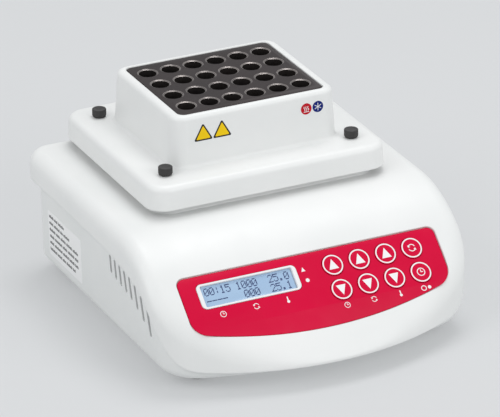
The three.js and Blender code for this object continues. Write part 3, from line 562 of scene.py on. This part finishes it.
def top_cover():
    """The shell as one closed loop of rings: rim, deck, rolled edge, band, lip and inside."""
    outline, normal = case_plan()
    y = outline[:, 1]
    top, seam = top_height(y), seam_height(y)
    way = tub_ring(-0.6, seam_height(tub_plan(-0.6)[0][:, 1]))
    frontness = np.clip((-y - 60) / 45, 0, 1)
    backness = np.clip(normal[:, 1], 0, 1)
    edge_in = 9.5 + 3.0 * frontness - 4.0 * backness
    lip = 1.3 + 2.9 * np.clip((seam - 16) / 18, 0, 1)
    room = np.sum((outline - way[:, :2]) * normal, axis=1)
    lip_in = np.minimum(lip, room - 0.15)
    edge_down = np.minimum(9.5 - 2.5 * backness, top - seam - lip - 0.4)
    rings = [level(aperture(g), z) for g, z in (
        (0, 75.8), (0, 84.6), (0.15, 84.87), (0.45, 85), (1.55, 85), (1.85, 84.87), (2, 84.6),
        (2, 79.6), (2.12, 79.0), (2.42, 78.62), (2.9, 78.5))]
    inner = rings[-1][:, :2]
    outer = case_ring(edge_in, top_height)[:, :2]
    for step in np.linspace(0, 1, 30)[1:]:
        points = inner * (1 - step) + outer * step
        rings.append(level(points, top_height(points[:, 1])))
    for step in np.linspace(0, PI / 2, 11)[1:]:
        ring = case_ring(edge_in * (1 - math.sin(step)), top_height)
        ring[:, 2] -= edge_down * (1 - math.cos(step))
        rings.append(ring)
    wall_top, wall_end = rings[-1][:, 2], seam + lip
    for step in (0.5, 1.0):
        rings.append(level(outline, wall_top * (1 - step) + wall_end * step))
    for step in np.linspace(0, PI / 2, 7)[1:]:
        ring = case_ring(lip_in * (1 - math.cos(step)), top_height)
        ring[:, 2] = seam + lip * (1 - math.sin(step))
        rings.append(ring)
    rings.append(way)
    rings.append(way + np.array([0, 0, 2.4]))
    rings.append(case_ring(4.7, lambda q: seam_height(q) + 2.6))
    rings.append(case_ring(4.7, lambda q: np.maximum(top_height(q) - 9, seam_height(q) + 2.7)))
    rings.append(case_ring(7.0, lambda q: top_height(q) - SKIN))
    under = case_ring(7.0, top_height)[:, :2]
    for step in np.linspace(0, 1, 18)[1:-1]:
        points = under * (1 - step) + aperture(0) * step
        rings.append(level(points, top_height(points[:, 1]) - SKIN))
    return loft(rings, wrap=True)


def panel_outline(inset):
    return bowed(84 - inset, -inset, -48.4 + inset, 5 - inset, 12 - inset, 280 - inset)[0]


def display_outline(half_x, half_y, corner, inset=0.0):
    return rounded(half_x - inset, half_y - inset, corner - inset, *DISPLAY)


key_places = [(x, y) for y in KEY_ROWS for x in KEY_COLUMNS]


def key_cutters(radius, z0, z1):
    made = Solid()
    for x, y in key_places:
        made.add(loft([level(circle(radius, x, y), z0), level(circle(radius, x, y), z1)]))
    return made


pocket = loft([level(panel_outline(g), z) for g, z in (
    (0, -1.8), (0, -0.45), (-0.1, -0.2), (-0.3, 0.0), (-0.75, 0.12), (-0.75, 12))]).placed(onto_slope)
through = key_cutters(KEY_RADIUS + 0.6, -10, 4)
through.add(prism(lambda i: display_outline(32.3, 8.3, 3.4), -10, 4))
piece("top_cover_shell", top_cover(), "root", white_shell, ("top_cover",), 32,
      (pocket, through.placed(onto_slope)))


def lower_casing():
    """The tub: a rounded floor edge, walls up to just inside the cover's lip, and back down inside."""
    edge, wall_foot = TUB_EDGE, TUB_FLOOR_Z + TUB_EDGE
    rim = seam_height(tub_plan()[0][:, 1]) + 2.0
    rings = []
    for i in range(7):
        a = i / 6 * PI / 2
        rings.append(tub_ring(edge * (1 - math.sin(a)), TUB_FLOOR_Z + edge * (1 - math.cos(a))))
    for step in (0.1, 0.35, 0.6, 0.8, 1.0):
        rings.append(tub_ring(0, wall_foot * (1 - step) + rim * step))
    rings.append(tub_ring(TUB_WALL, rim))
    rings.append(tub_ring(TUB_WALL, wall_foot * 0.8 + rim * 0.2))
    rings.append(tub_ring(2 * TUB_WALL, TUB_FLOOR_Z + TUB_WALL))
    return loft(rings)


def vent_outline(y, low, high):
    """A slot with round ends, as (y, z) points."""
    upper = arc(y, high - VENT_HALF, VENT_HALF, 0, PI * 7 / 8, 7)[0]
    lower = arc(y, low + VENT_HALF, VENT_HALF, PI, PI * 15 / 8, 7)[0]
    return np.concatenate([upper, lower])


slots = Solid()
for i in range(VENTS):
    y = VENT_FIRST_Y - VENT_PITCH * i
    high = float(top_height(y, BAND, BAND_SLOPE)) - VENT_BELOW_SEAM
    low = high - (VENT_LENGTHS[0] + (VENT_LENGTHS[1] - VENT_LENGTHS[0]) * i / (VENTS - 1))
    slot = flat(vent_outline(y, low, high), 89, 106)
    for side in (-1, 1):
        slots.add(slot.placed(lambda p, s=side: np.stack([s * p[:, 2], p[:, 0], p[:, 1]], axis=1)))
rear_holes = Solid()
rear_holes.add(flat(rounded(6.3, 9.8, 0.6, SWITCH_X, REAR_Z), -8, 6))
rear_holes.add(flat(circle(4.95, INLET_X, REAR_Z), -8, 6))
floor_holes = Solid()
for x, y in FEET.values():
    floor_holes.add(flat(circle(2.8, x, y, 24), 3, 12))
for x, y in CASING_SCREWS:
    floor_holes.add(flat(circle(1.8, x, y, 24), 3, 12))
piece("lower_casing_shell", lower_casing(), "root", white_tub, ("lower_casing",), 32,
      (slots, rear_holes.placed(onto_rear), floor_holes))

for corner, (x, y) in FEET.items():
    profile = [(0, 0.5), (4.5, 0.5), (5.0, 0), (6.6, 0)] + [
        (6.6 + 1.4 * math.sin(a), 1.4 - 1.4 * math.cos(a)) for a in np.linspace(0, PI / 2, 5)[1:]
    ] + [(8, 5.4), (7.2, 6.2), (2.5, 6.2), (2.5, 10.5), (0, 10.5)]
    piece(f"rubber_foot_{corner}", turned(profile, 40).placed(shifted(x, y)), "root", rubber,
          (f"foot_{corner}",))

# ---------------------------------------------------------------- control panel

plate = prism(lambda i: panel_outline(0.5 + i), -1.5, -0.7, 0.15, 2)
plate_holes = key_cutters(KEY_RADIUS + 0.35, -4, 2)
plate_holes.add(prism(lambda i: display_outline(32.2, 8.2, 3.3), -4, 2))
piece("control_panel_foil", plate.placed(onto_slope), "root", crimson, ("control_panel",), 30,
      (plate_holes.placed(onto_slope),))

bezel_section = [(0, -3.3), (0, -0.7), (0.08, -0.48), (0.3, -0.36), (2.2, -0.36), (2.5, -0.5),
                 (2.62, -0.75), (2.75, -3.3)]
bezel_rings = [level(rounded(31.95 - g, 7.95 - g * 0.47, max(3.2 - g, 0.9), *DISPLAY, count=10), z)
               for g, z in bezel_section]
piece("display_bezel_ring", loft(bezel_rings, wrap=True).placed(onto_slope), "root",
      white_bezel, ("display_bezel",))

glass = prism(lambda i: display_outline(28.9, 6.55, 1.2, i), -4.5, GLASS_Z, 0.15, 2)
piece("display_glass", glass.placed(onto_slope), "root", lcd_blue, ("display_module",))
back = prism(lambda i: display_outline(31, 9.5, 0.8, i), -6.8, -4.55, 0.2, 2, both=True)
piece("display_carrier", back.placed(onto_slope), "root", board_green)

GLYPHS = {
    "0": "01110 10001 10011 10101 11001 10001 01110",
    "1": "00100 01100 00100 00100 00100 00100 01110",
    "2": "01110 10001 00001 00010 00100 01000 11111",
    "5": "11111 10000 11110 00001 00001 10001 01110",
    ":": "00000 00100 00100 00000 00100 00100 00000",
    ".": "00000 00000 00000 00000 00000 01100 01100",
    "-": "00000 00000 00000 11111 00000 00000 00000",
}


def dot_matrix(lines, x0, y0, pitch_x, pitch_y, dot, gap):
    """Rows of 5 by 7 dot characters, from the top left."""
    made = Solid()
    for row, line in enumerate(lines):
        for column, letter in enumerate(line):
            for j, bits in enumerate(GLYPHS.get(letter, "").split()):
                for i, bit in enumerate(bits):
                    if bit == "1":
                        x = x0 + column * pitch_x + i * (dot + gap)
                        y = y0 - row * pitch_y - j * (dot + gap) * 1.14
                        low = y - dot * 1.16
                        made.add(flat([(x, low), (x + dot, low), (x + dot, y), (x, y)],
                                      GLASS_Z - 0.03, GLASS_Z + 0.03))
    return made


digits = dot_matrix(("00:15 1000  25.0", "----   000  25.1"), DISPLAY[0] - 27.6, DISPLAY[1] + 5.3,
                    3.42, 5.9, 0.56, 0.07)
piece("display_digits", digits.placed(onto_slope), "root", lcd_ink)


def stroke(points, width, z0, z1):
    """A flat line of the given width along points, as one plate."""
    line = np.asarray(points, float)
    along = np.gradient(line, axis=0)
    along /= np.hypot(*along.T)[:, None]
    side = np.stack([-along[:, 1], along[:, 0]], axis=1) * width / 2
    return flat(np.concatenate([line + side, (line - side)[::-1]]), z0, z1)


def arc_line(radius, start, end, count=20, x=0.0, y=0.0):
    return arc(x, y, radius, math.radians(start), math.radians(end), count)[0]


def washer(radius, width, z0, z1, x=0.0, y=0.0, sides=48):
    outer, inner = circle(radius, x, y, sides), circle(radius - width, x, y, sides)
    return loft([level(outer, z0), level(outer, z1), level(inner, z1), level(inner, z0)], wrap=True)


def clock_icon(size, z0, z1):
    made = washer(size, size * 0.2, z0, z1)
    made.add(flat([(-size * 0.1, -size * 0.1), (size * 0.1, -size * 0.1), (size * 0.1, size * 0.62),
                   (-size * 0.1, size * 0.62)], z0, z1))
    made.add(flat([(size * 0.12, -size * 0.1), (size * 0.5, -size * 0.1), (size * 0.5, size * 0.1),
                   (size * 0.12, size * 0.1)], z0, z1))
    return made


def orbit_icon(size, z0, z1):
    """Two arcs with arrowheads that chase each other."""
    made = Solid()
    for turn in (0, 180):
        made.add(stroke(arc_line(size * 0.85, 20 + turn, 140 + turn), size * 0.22, z0, z1))
        tip = math.radians(172 + turn)
        root = math.radians(140 + turn)
        head = [(size * 0.85 * math.cos(tip), size * 0.85 * math.sin(tip)),
                (size * 0.45 * math.cos(root), size * 0.45 * math.sin(root)),
                (size * 1.25 * math.cos(root), size * 1.25 * math.sin(root))]
        made.add(flat(head, z0, z1))
    return made


def thermometer_icon(size, z0, z1):
    made = flat(circle(size * 0.42, 0, -size * 0.55, 24), z0, z1)
    made.add(flat([(-size * 0.16, -size * 0.3), (size * 0.16, -size * 0.3), (size * 0.16, size * 0.85),
                   (-size * 0.16, size * 0.85)], z0, z1))
    return made


def triangle_icon(size, up, z0, z1):
    s = 1 if up else -1
    return flat([(-size, -s * size * 0.9), (size, -s * size * 0.9), (0, s * size * 1.2)], z0, z1)


key_profile = ([(0, -4.9), (2, -4.9), (2, -4.45), (7.5, -4.45), (7.5, -3.6), (KEY_RADIUS, -3.6)]
               + round_corner(KEY_RADIUS, -0.35, KEY_RADIUS - 0.25, -0.1, 4)
               + [(5.35, -0.1), (5.2, -0.16), (5.0, -0.14), (4.2, -0.07), (2.6, -0.02), (0, 0)])
for index, (name, (x, y)) in enumerate(zip(KEY_NAMES, key_places)):
    where = lambda p, x=x, y=y: onto_slope(np.asarray(p) + np.array([x, y, 0]))
    body = f"key_{name}"
    piece(f"{body}_cap", turned(key_profile, 64).placed(where), body, crimson, (body,))
    mark = ring_profile([(6.35, -0.12), (6.35, -0.06), (5.55, -0.06), (5.55, -0.12)])
    column, low, high = index % 4, -0.09, 0.02
    if column < 3:
        mark.add(triangle_icon(3.1, index < 4, low, high))
    elif index == 3:
        mark.add(orbit_icon(2.5, low, high))
    else:
        mark.add(clock_icon(2.6, low, high))
    piece(f"{body}_mark", mark.placed(where), body, white_print)

legends = Solid()
for icon, x, y, size in ((clock_icon, -62, -26.6, 1.95), (orbit_icon, -40.7, -26.2, 1.95),
                         (thermometer_icon, -20.5, -26.3, 2.2), (clock_icon, 14.0, -37.4, 1.85),
                         (orbit_icon, 31.5, -37.4, 1.85), (thermometer_icon, 48.8, -37.4, 2.1)):
    legends.add(icon(size, *LEGEND_Z).placed(shifted(x, y)))
legends.add(triangle_icon(1.3, True, *LEGEND_Z).placed(shifted(-4.9, -10.2)))
legends.add(flat(circle(1.2, -4.4, -17.2, 24), *LEGEND_Z))
legends.add(washer(1.75, 0.5, *LEGEND_Z).placed(shifted(64.2, -37.4)))
legends.add(flat(circle(1.1, 67.9, -37.4, 24), *LEGEND_Z))
piece("panel_legends", legends.placed(onto_slope), "root", white_print)

# ---------------------------------------------------------------- block, cover and knobs

where_platform = shifted(*PLATFORM)


def collar_half(z):
    """Half the collar's depth at height z: its walls are drafted."""
    return 44.4 + (COLLAR_SHOULDER_Z - z) * 1.4 / 26.2


def block_cover():
    """Tray and collar in one closed loop of rings, from the mouth outwards and back inside."""
    rings = [level(rounded(*o, count=12), z) for o, z in (
        ((47.5, 40.4, 4.3), 126.6), ((47.5, 40.4, 4.3), 129.3), ((47.62, 40.52, 4.42), 129.7),
        ((47.95, 40.75, 4.8), 129.95), ((48.4, 40.95, 5.2), 130.0), ((49.8, 41.2, 5.6), 130.0))]
    for i in range(1, 9):
        a = i / 8 * PI / 2
        grow = 3.2 * math.sin(a)
        rings.append(level(rounded(49.8 + grow, 41.2 + grow, 5.6 + grow * 0.8, count=12),
                           COLLAR_SHOULDER_Z + 3.2 * math.cos(a)))
    for z in (114.0, 100.5):
        draft = collar_half(z) - 44.4
        rings.append(level(rounded(53 + draft * 1.35, 44.4 + draft, 8.2 + draft, count=12), z))
    for i in range(1, 6):
        a = i / 5 * PI / 2
        grow = 2.5 * (1 - math.cos(a))
        rings.append(level(rounded(54.9 + grow, 45.8 + grow, 9.6 + grow, count=12),
                           98 + 2.5 * (1 - math.sin(a))))
    edge = 4.2
    for i in range(9):
        a = i / 8 * PI / 2
        inset = edge * (1 - math.sin(a))
        rings.append(level(rounded(77.3 - inset, 66.6 - inset, 12 - inset, count=12),
                           98 - edge + edge * math.cos(a)))
    for o, z in (((77.9, 67.2, 12.6), 84.0), ((77.8, 67.1, 12.5), 83.4), ((77.4, 66.7, 12.1), 83.1),
                 ((75.6, 64.9, 10.3), 83.1), ((75.3, 64.6, 10.0), 84.0), ((75.0, 64.3, 9.7), 95.5),
                 ((50.3, 42, 5.5), 95.5), ((50.3, 42, 5.5), 126.5)):
        rings.append(level(rounded(*o, count=12), z))
    return loft(rings, wrap=True)


screw_places = [(sx * 61, sy * 48) for sy in (-1, 1) for sx in (-1, 1)]
cover_holes = Solid()
for x, y in screw_places:
    cover_holes.add(flat(circle(1.9, x, y, 24), 90, 104))
piece("block_cover_shell", block_cover().placed(where_platform), "platform", white_shell,
      ("block_cover",), 32, (cover_holes.placed(where_platform),))

well_profile = [(0, 93.1), (1.2, 93.1), (1.9, 93.4), (2.2, 93.9), (5.44, 110.6), (5.46, BLOCK_TOP - 0.42),
                (5.72, BLOCK_TOP - 0.30), (6.05, BLOCK_TOP - 0.16), (6.32, BLOCK_TOP + 0.01),
                (6.38, BLOCK_TOP + 0.4), (0, BLOCK_TOP + 0.4)]
wells = Solid()
for row in range(4):
    for column in range(6):
        wells.add(turned(well_profile, 48).placed(shifted(
            (column - 2.5) * WELL_PITCH[0], (row - 1.5) * WELL_PITCH[1])))
block = raw_object("heating_block_wells", prism(
    lambda i: rounded(47 - i, 39.9 - i, 4 - i, count=8), 90, BLOCK_TOP, 0.4, 3, both=True
).placed(where_platform))
carve(block, wells.placed(where_platform))
dress(block, "platform", block_metal, ("heating_block",), 30)
block.data.materials.append(rim_highlight_metal)
block.data.materials.append(well_painted_shade)
# Faces in the wells are recoloured: thin bands at the rims get a bright painted highlight colour, the
# chamfers' middles and the well walls a darker painted shade.
for polygon in block.data.polygons:
    x, y = polygon.center.x / MM - PLATFORM[0], polygon.center.y / MM - DRIVE_Y
    below = BLOCK_TOP - polygon.center.z / MM
    from_well = math.hypot(x - (min(max(round(x / WELL_PITCH[0] + 2.5), 0), 5) - 2.5) * WELL_PITCH[0],
                           y - (min(max(round(y / WELL_PITCH[1] + 1.5), 0), 3) - 1.5) * WELL_PITCH[1])
    if from_well < 6.35 and 0.003 < below < BLOCK_TOP - 91:
        # Thin bands at the rim's top and bottom edges take the bright colour: painted highlight lines.
        bright = below < 0.42 and (from_well > 6.08 or from_well < 5.7)
        # Every other face in a well gets the darker anodising: painted shade.
        polygon.material_index = 1 if bright else 2

for corner, (x, y) in zip(CORNERS, screw_places):
    knob = [(0, 86.2), (1.5, 86.2), (1.5, 98.3), (3.8, 98.3), (3.95, 98.45), (3.95, 98.9),
            (4.15, 99.0, 0.4), (4.3, 99.2, 1), (4.3, 102.75, 1)]
    knob += [(4.3 - 0.35 * (1 - math.cos(a)), 102.75 + 0.45 * math.sin(a), 1 - 0.8 * a / 1.57)
             for a in np.linspace(0, PI / 2, 6)[1:]]
    knob += [(3.3, 103.22), (3.0, 103.1), (2.0, 103.0), (0, 102.95)]
    piece(f"thumbscrew_{corner}_knob", turned(knob, 120, 0.22, 30).placed(
        shifted(PLATFORM[0] + x, PLATFORM[1] + y)), f"thumbscrew_{corner}",
        black_plastic, (f"thumbscrew_{corner}",), 40)


# ---------------------------------------------------------------- stickers on the collar and the wall

def on_collar_front(points):
    """From a frame on the collar's front: x across, y up, z out of it; the wall leans a little."""
    p = np.asarray(points, float)
    return np.stack([PLATFORM[0] + p[:, 0], DRIVE_Y - collar_half(p[:, 1]) - p[:, 2], p[:, 1]], axis=1)


def rounded_triangle(x, y, half, height, corner):
    """A triangle pointing up, with round corners."""
    tips = np.array([(x - half, y), (x + half, y), (x, y + height)])
    centre = tips.mean(0)
    points = []
    for i, tip in enumerate(tips):
        inward = (centre - tip) / np.hypot(*(centre - tip))
        middle = tip + inward * corner * 2
        heading = math.atan2(*(-inward)[::-1])
        points += [middle + corner * np.array([math.cos(a), math.sin(a)])
                   for a in np.linspace(heading - PI / 3, heading + PI / 3, 7)]
    return points


signs, borders = Solid(), Solid()
for x in (-34.75, -22.55):
    borders.add(flat(rounded_triangle(x, 113.6, 6.2, 10.8, 0.7), -0.05, 0.10))
    signs.add(flat(rounded_triangle(x, 114.5, 4.7, 8.3, 0.4), 0.06, 0.15))
piece("sign_borders", borders.placed(on_collar_front), "platform", label_ink)
piece("sign_faces", signs.placed(on_collar_front), "platform", sign_yellow)

piece("heat_disc", flat(circle(3.5, 32.8, 120.4, 48), -0.05, 0.1).placed(on_collar_front), "platform",
      mark_red)
piece("cool_disc", flat(circle(3.5, 40.5, 120.5, 48), -0.05, 0.1).placed(on_collar_front), "platform",
      mark_blue)
disc_marks = Solid()
for shift in (-1.2, 0, 1.2):
    wave = [(32.8 + shift + 0.35 * math.sin(t * 2 * PI), 119.3 + 2.6 * t) for t in np.linspace(0, 1, 13)]
    disc_marks.add(stroke(wave, 0.4, 0.08, 0.15))
disc_marks.add(stroke([(31.0, 118.6), (34.6, 118.6)], 0.4, 0.08, 0.15))
for turn in (0, 60, 120):
    a = math.radians(turn + 90)
    arm = np.array([math.cos(a), math.sin(a)])
    middle = np.array([40.5, 120.5])
    lift = turn * 1e-4
    disc_marks.add(stroke([middle - arm * 2.4, middle + arm * 2.4], 0.36, 0.08 + lift, 0.15 + lift))
piece("disc_marks", disc_marks.placed(on_collar_front), "platform", white_print)


def on_left_wall(points):
    """From a frame on the lower casing's left wall: x towards the rear, y up, z out of it."""
    p = np.asarray(points, float)
    return np.stack([-(tub_half(p[:, 0], p[:, 1]) + p[:, 2]), p[:, 0], p[:, 1]], axis=1)


piece("rating_label", prism(lambda i: rounded(24.6 - i, 14.6 - i, 0.8 - i / 2, 66.5, 30.4, count=5),
                            -0.05, 0.12, 0.04, 1).placed(on_left_wall), "root", label_white)
label_lines = Solid()
label_words = ((7, 5, 9), (6, 9, 4, 9), (9, 6, 8, 9, 8), (7, 11, 7, 10, 5), (6, 12, 9, 8, 5),
               (10, 7, 5, 9, 4))
for row, words in enumerate(label_words):
    x, low = 89.3, 40.9 - row * 4.35
    for word in words:
        for k in range(word):
            high = low + 1.5 + 0.5 * ((k * 7 + word + row) % 3 == 0)
            label_lines.add(flat([(x - 0.62, low), (x, low), (x, high), (x - 0.62, high)], 0.10, 0.16))
            x -= 0.98
        x -= 0.9
piece("rating_label_lines", label_lines.placed(on_left_wall), "root", label_ink)

# ---------------------------------------------------------------- rear fittings

def switch_outline(half_x, half_y, corner):
    return rounded(half_x, half_y, corner, SWITCH_X, REAR_Z)


switch_body = loft([level(switch_outline(6, 9.5, 0.6), 0.35), level(switch_outline(6, 9.5, 0.6), -14)])
switch_cavity = flat(switch_outline(4.8, 8.3, 0.5), -9, 5)
piece("switch_housing_shell", switch_body.placed(onto_rear), "root", black_plastic,
      ("switch_housing",), 34, (switch_cavity.placed(onto_rear),))
bezel_steps = ((1.8, 0.3), (0.05, 0.3), (0, 0.5), (0.1, 1.4), (0.5, 1.9), (0.9, 2.0), (2.5, 2.0),
               (2.75, 1.7), (2.8, 0.3))
bezel_ring = loft([level(switch_outline(7.6 - g, 11.1 - g, max(1.6 - g, 0.3)), z)
                   for g, z in bezel_steps], wrap=True)
piece("switch_bezel", bezel_ring.placed(onto_rear), "root", black_plastic)

reach = 7.6
rise = reach * math.tan(ROCKER_TILT)
section = [(-reach, rise), (-reach + 0.2, rise - 1.2), (-reach + 0.6, -3), (-2, -5.5), (2, -5.5),
           (reach - 0.6, -3), (reach - 0.2, rise - 1.2), (reach, rise), (reach - 0.6, rise * 0.93 + 0.02)]
for y in np.linspace(reach - 1.2, -reach + 0.8, 17):
    section.append((y, rise * (abs(y) / reach) ** 1.25 - 0.02))
rocker_rings = []
for x, shrink in ((-4.5, 0.3), (-4.35, 0.08), (-4.1, 0), (4.1, 0), (4.35, 0.08), (4.5, 0.3)):
    ring = np.array([(x, y * (1 - shrink / 12), z - (shrink if z > -2 else -shrink)) for y, z in section])
    rocker_rings.append(ring)
rocker = loft(rocker_rings)


def rocker_place(points):
    """Tilted to its resting side, about the pivot on the wall, then onto the rear."""
    p = np.asarray(points, float)
    y, z = -p[:, 1], p[:, 2] + 2
    turned_y = y * math.cos(ROCKER_TILT) + z * math.sin(ROCKER_TILT)
    turned_z = -y * math.sin(ROCKER_TILT) + z * math.cos(ROCKER_TILT)
    return onto_rear(np.stack([p[:, 0] + SWITCH_X, turned_y + REAR_Z, turned_z], axis=1))


piece("power_rocker_cap", rocker.placed(rocker_place), "rocker", black_plastic,
      ("power_rocker",), 25)

inlet = turned([(0, -12), (4.6, -12), (4.6, 0.3), (6.0, 0.3), (6.0, 1.3), (5.7, 1.6), (3.5, 1.6),
                (3.2, 1.35), (3.2, -9), (1.0, -9), (1.0, 0.4), (0.7, 0.75), (0, 0.8)], 48)
piece("dc_inlet_socket", inlet.placed(shifted(INLET_X, REAR_Z)).placed(onto_rear), "root",
      black_plastic, ("dc_inlet",))

# ---------------------------------------------------------------- carried-over CAD nodes

CARRIED = {
    "steel": steel, "brass": brass, "aluminium": aluminium, "board": board_green, "ceramic": ceramic,
    "foam": foam, "cable": cable_grey, "black_plastic": black_plastic, "rubber": rubber,
    "shell": white_shell, "panel": crimson, "print": white_print, "display": lcd_blue, "block": block_metal,
}
slot_of = {entry["node"]: entry["material_slot"] for entry in frame["record"]["subparts"]}
for name, obj in frame["nodes"].items():
    if obj.hide_render:
        continue
    look = CARRIED[slot_of[name]]
    obj.data.materials.clear()
    obj.data.materials.append(look)
    for polygon in obj.data.polygons:
        polygon.material_index = 0
    edges = obj.modifiers.new("edges", "BEVEL")
    edges.width, edges.segments, edges.limit_method = 0.0002, 2, "ANGLE"
    edges.angle_limit = math.radians(38)

# ---------------------------------------------------------------- camera, light and floor

camera_data = bpy.data.cameras.new("camera")
camera = bpy.data.objects.new("camera", camera_data)
bpy.context.scene.collection.objects.link(camera)
azimuth, elevation, roll = (math.radians(v) for v in (-25.376, 24.647, -0.568))
back = Vector((math.sin(azimuth) * math.cos(elevation), -math.cos(azimuth) * math.cos(elevation),
               math.sin(elevation)))
right = Vector((math.cos(azimuth), math.sin(azimuth), 0))
up = back.cross(right)
right_rolled = right * math.cos(roll) + up * math.sin(roll)
up_rolled = up * math.cos(roll) - right * math.sin(roll)
turn = Matrix((right_rolled, up_rolled, back)).transposed()
camera.matrix_world = Matrix.Translation(Vector((-1.0307, -2.1633, 1.1626))) @ turn.to_4x4()
camera_data.lens = 318.75
camera_data.sensor_width = 36
camera_data.clip_start, camera_data.clip_end = 0.05, 100
bpy.context.scene.camera = camera


def area_light(name, place, target, size, power, color=(1, 1, 1)):
    data = bpy.data.lights.new(name, "AREA")
    data.shape, data.size, data.energy, data.color = "DISK", size, power, color
    light = bpy.data.objects.new(name, data)
    bpy.context.scene.collection.objects.link(light)
    light.location = place
    light.rotation_mode = "QUATERNION"
    light.rotation_quaternion = (Vector(target) - Vector(place)).to_track_quat("-Z", "Y")
    return light


area_light("overhead", (0.35, 0.35, 1.7), (0, 0.05, 0.08), 0.9, 9.0)
area_light("front_fill", (0.9, -1.7, 1.1), (0, 0, 0.05), 1.4, 11.4)
area_light("left_fill", (-1.5, -0.35, 1.25), (0, 0, 0.05), 1.3, 7.6)

world = bpy.data.worlds.new("studio")
bpy.context.scene.world = world
world.use_nodes = True
world.node_tree.nodes["Background"].inputs["Color"].default_value = (0.96, 0.98, 1.0, 1)
world.node_tree.nodes["Background"].inputs["Strength"].default_value = 0.62

floor = raw_object("studio_floor", Solid(
    [(-8000, -8000, 0), (8000, -8000, 0), (8000, 8000, 0), (-8000, 8000, 0)], [(0, 1, 2, 3)]))
floor_look, _, floor_shader = start_material("pale_floor", (0.40, 0.405, 0.41), 0.9)
floor_shader.inputs["Emission Color"].default_value = (0.965, 0.985, 1, 1)
floor_shader.inputs["Emission Strength"].default_value = 0.27
floor.data.materials.append(floor_look)

bpy.context.scene.view_settings.view_transform = "Standard"
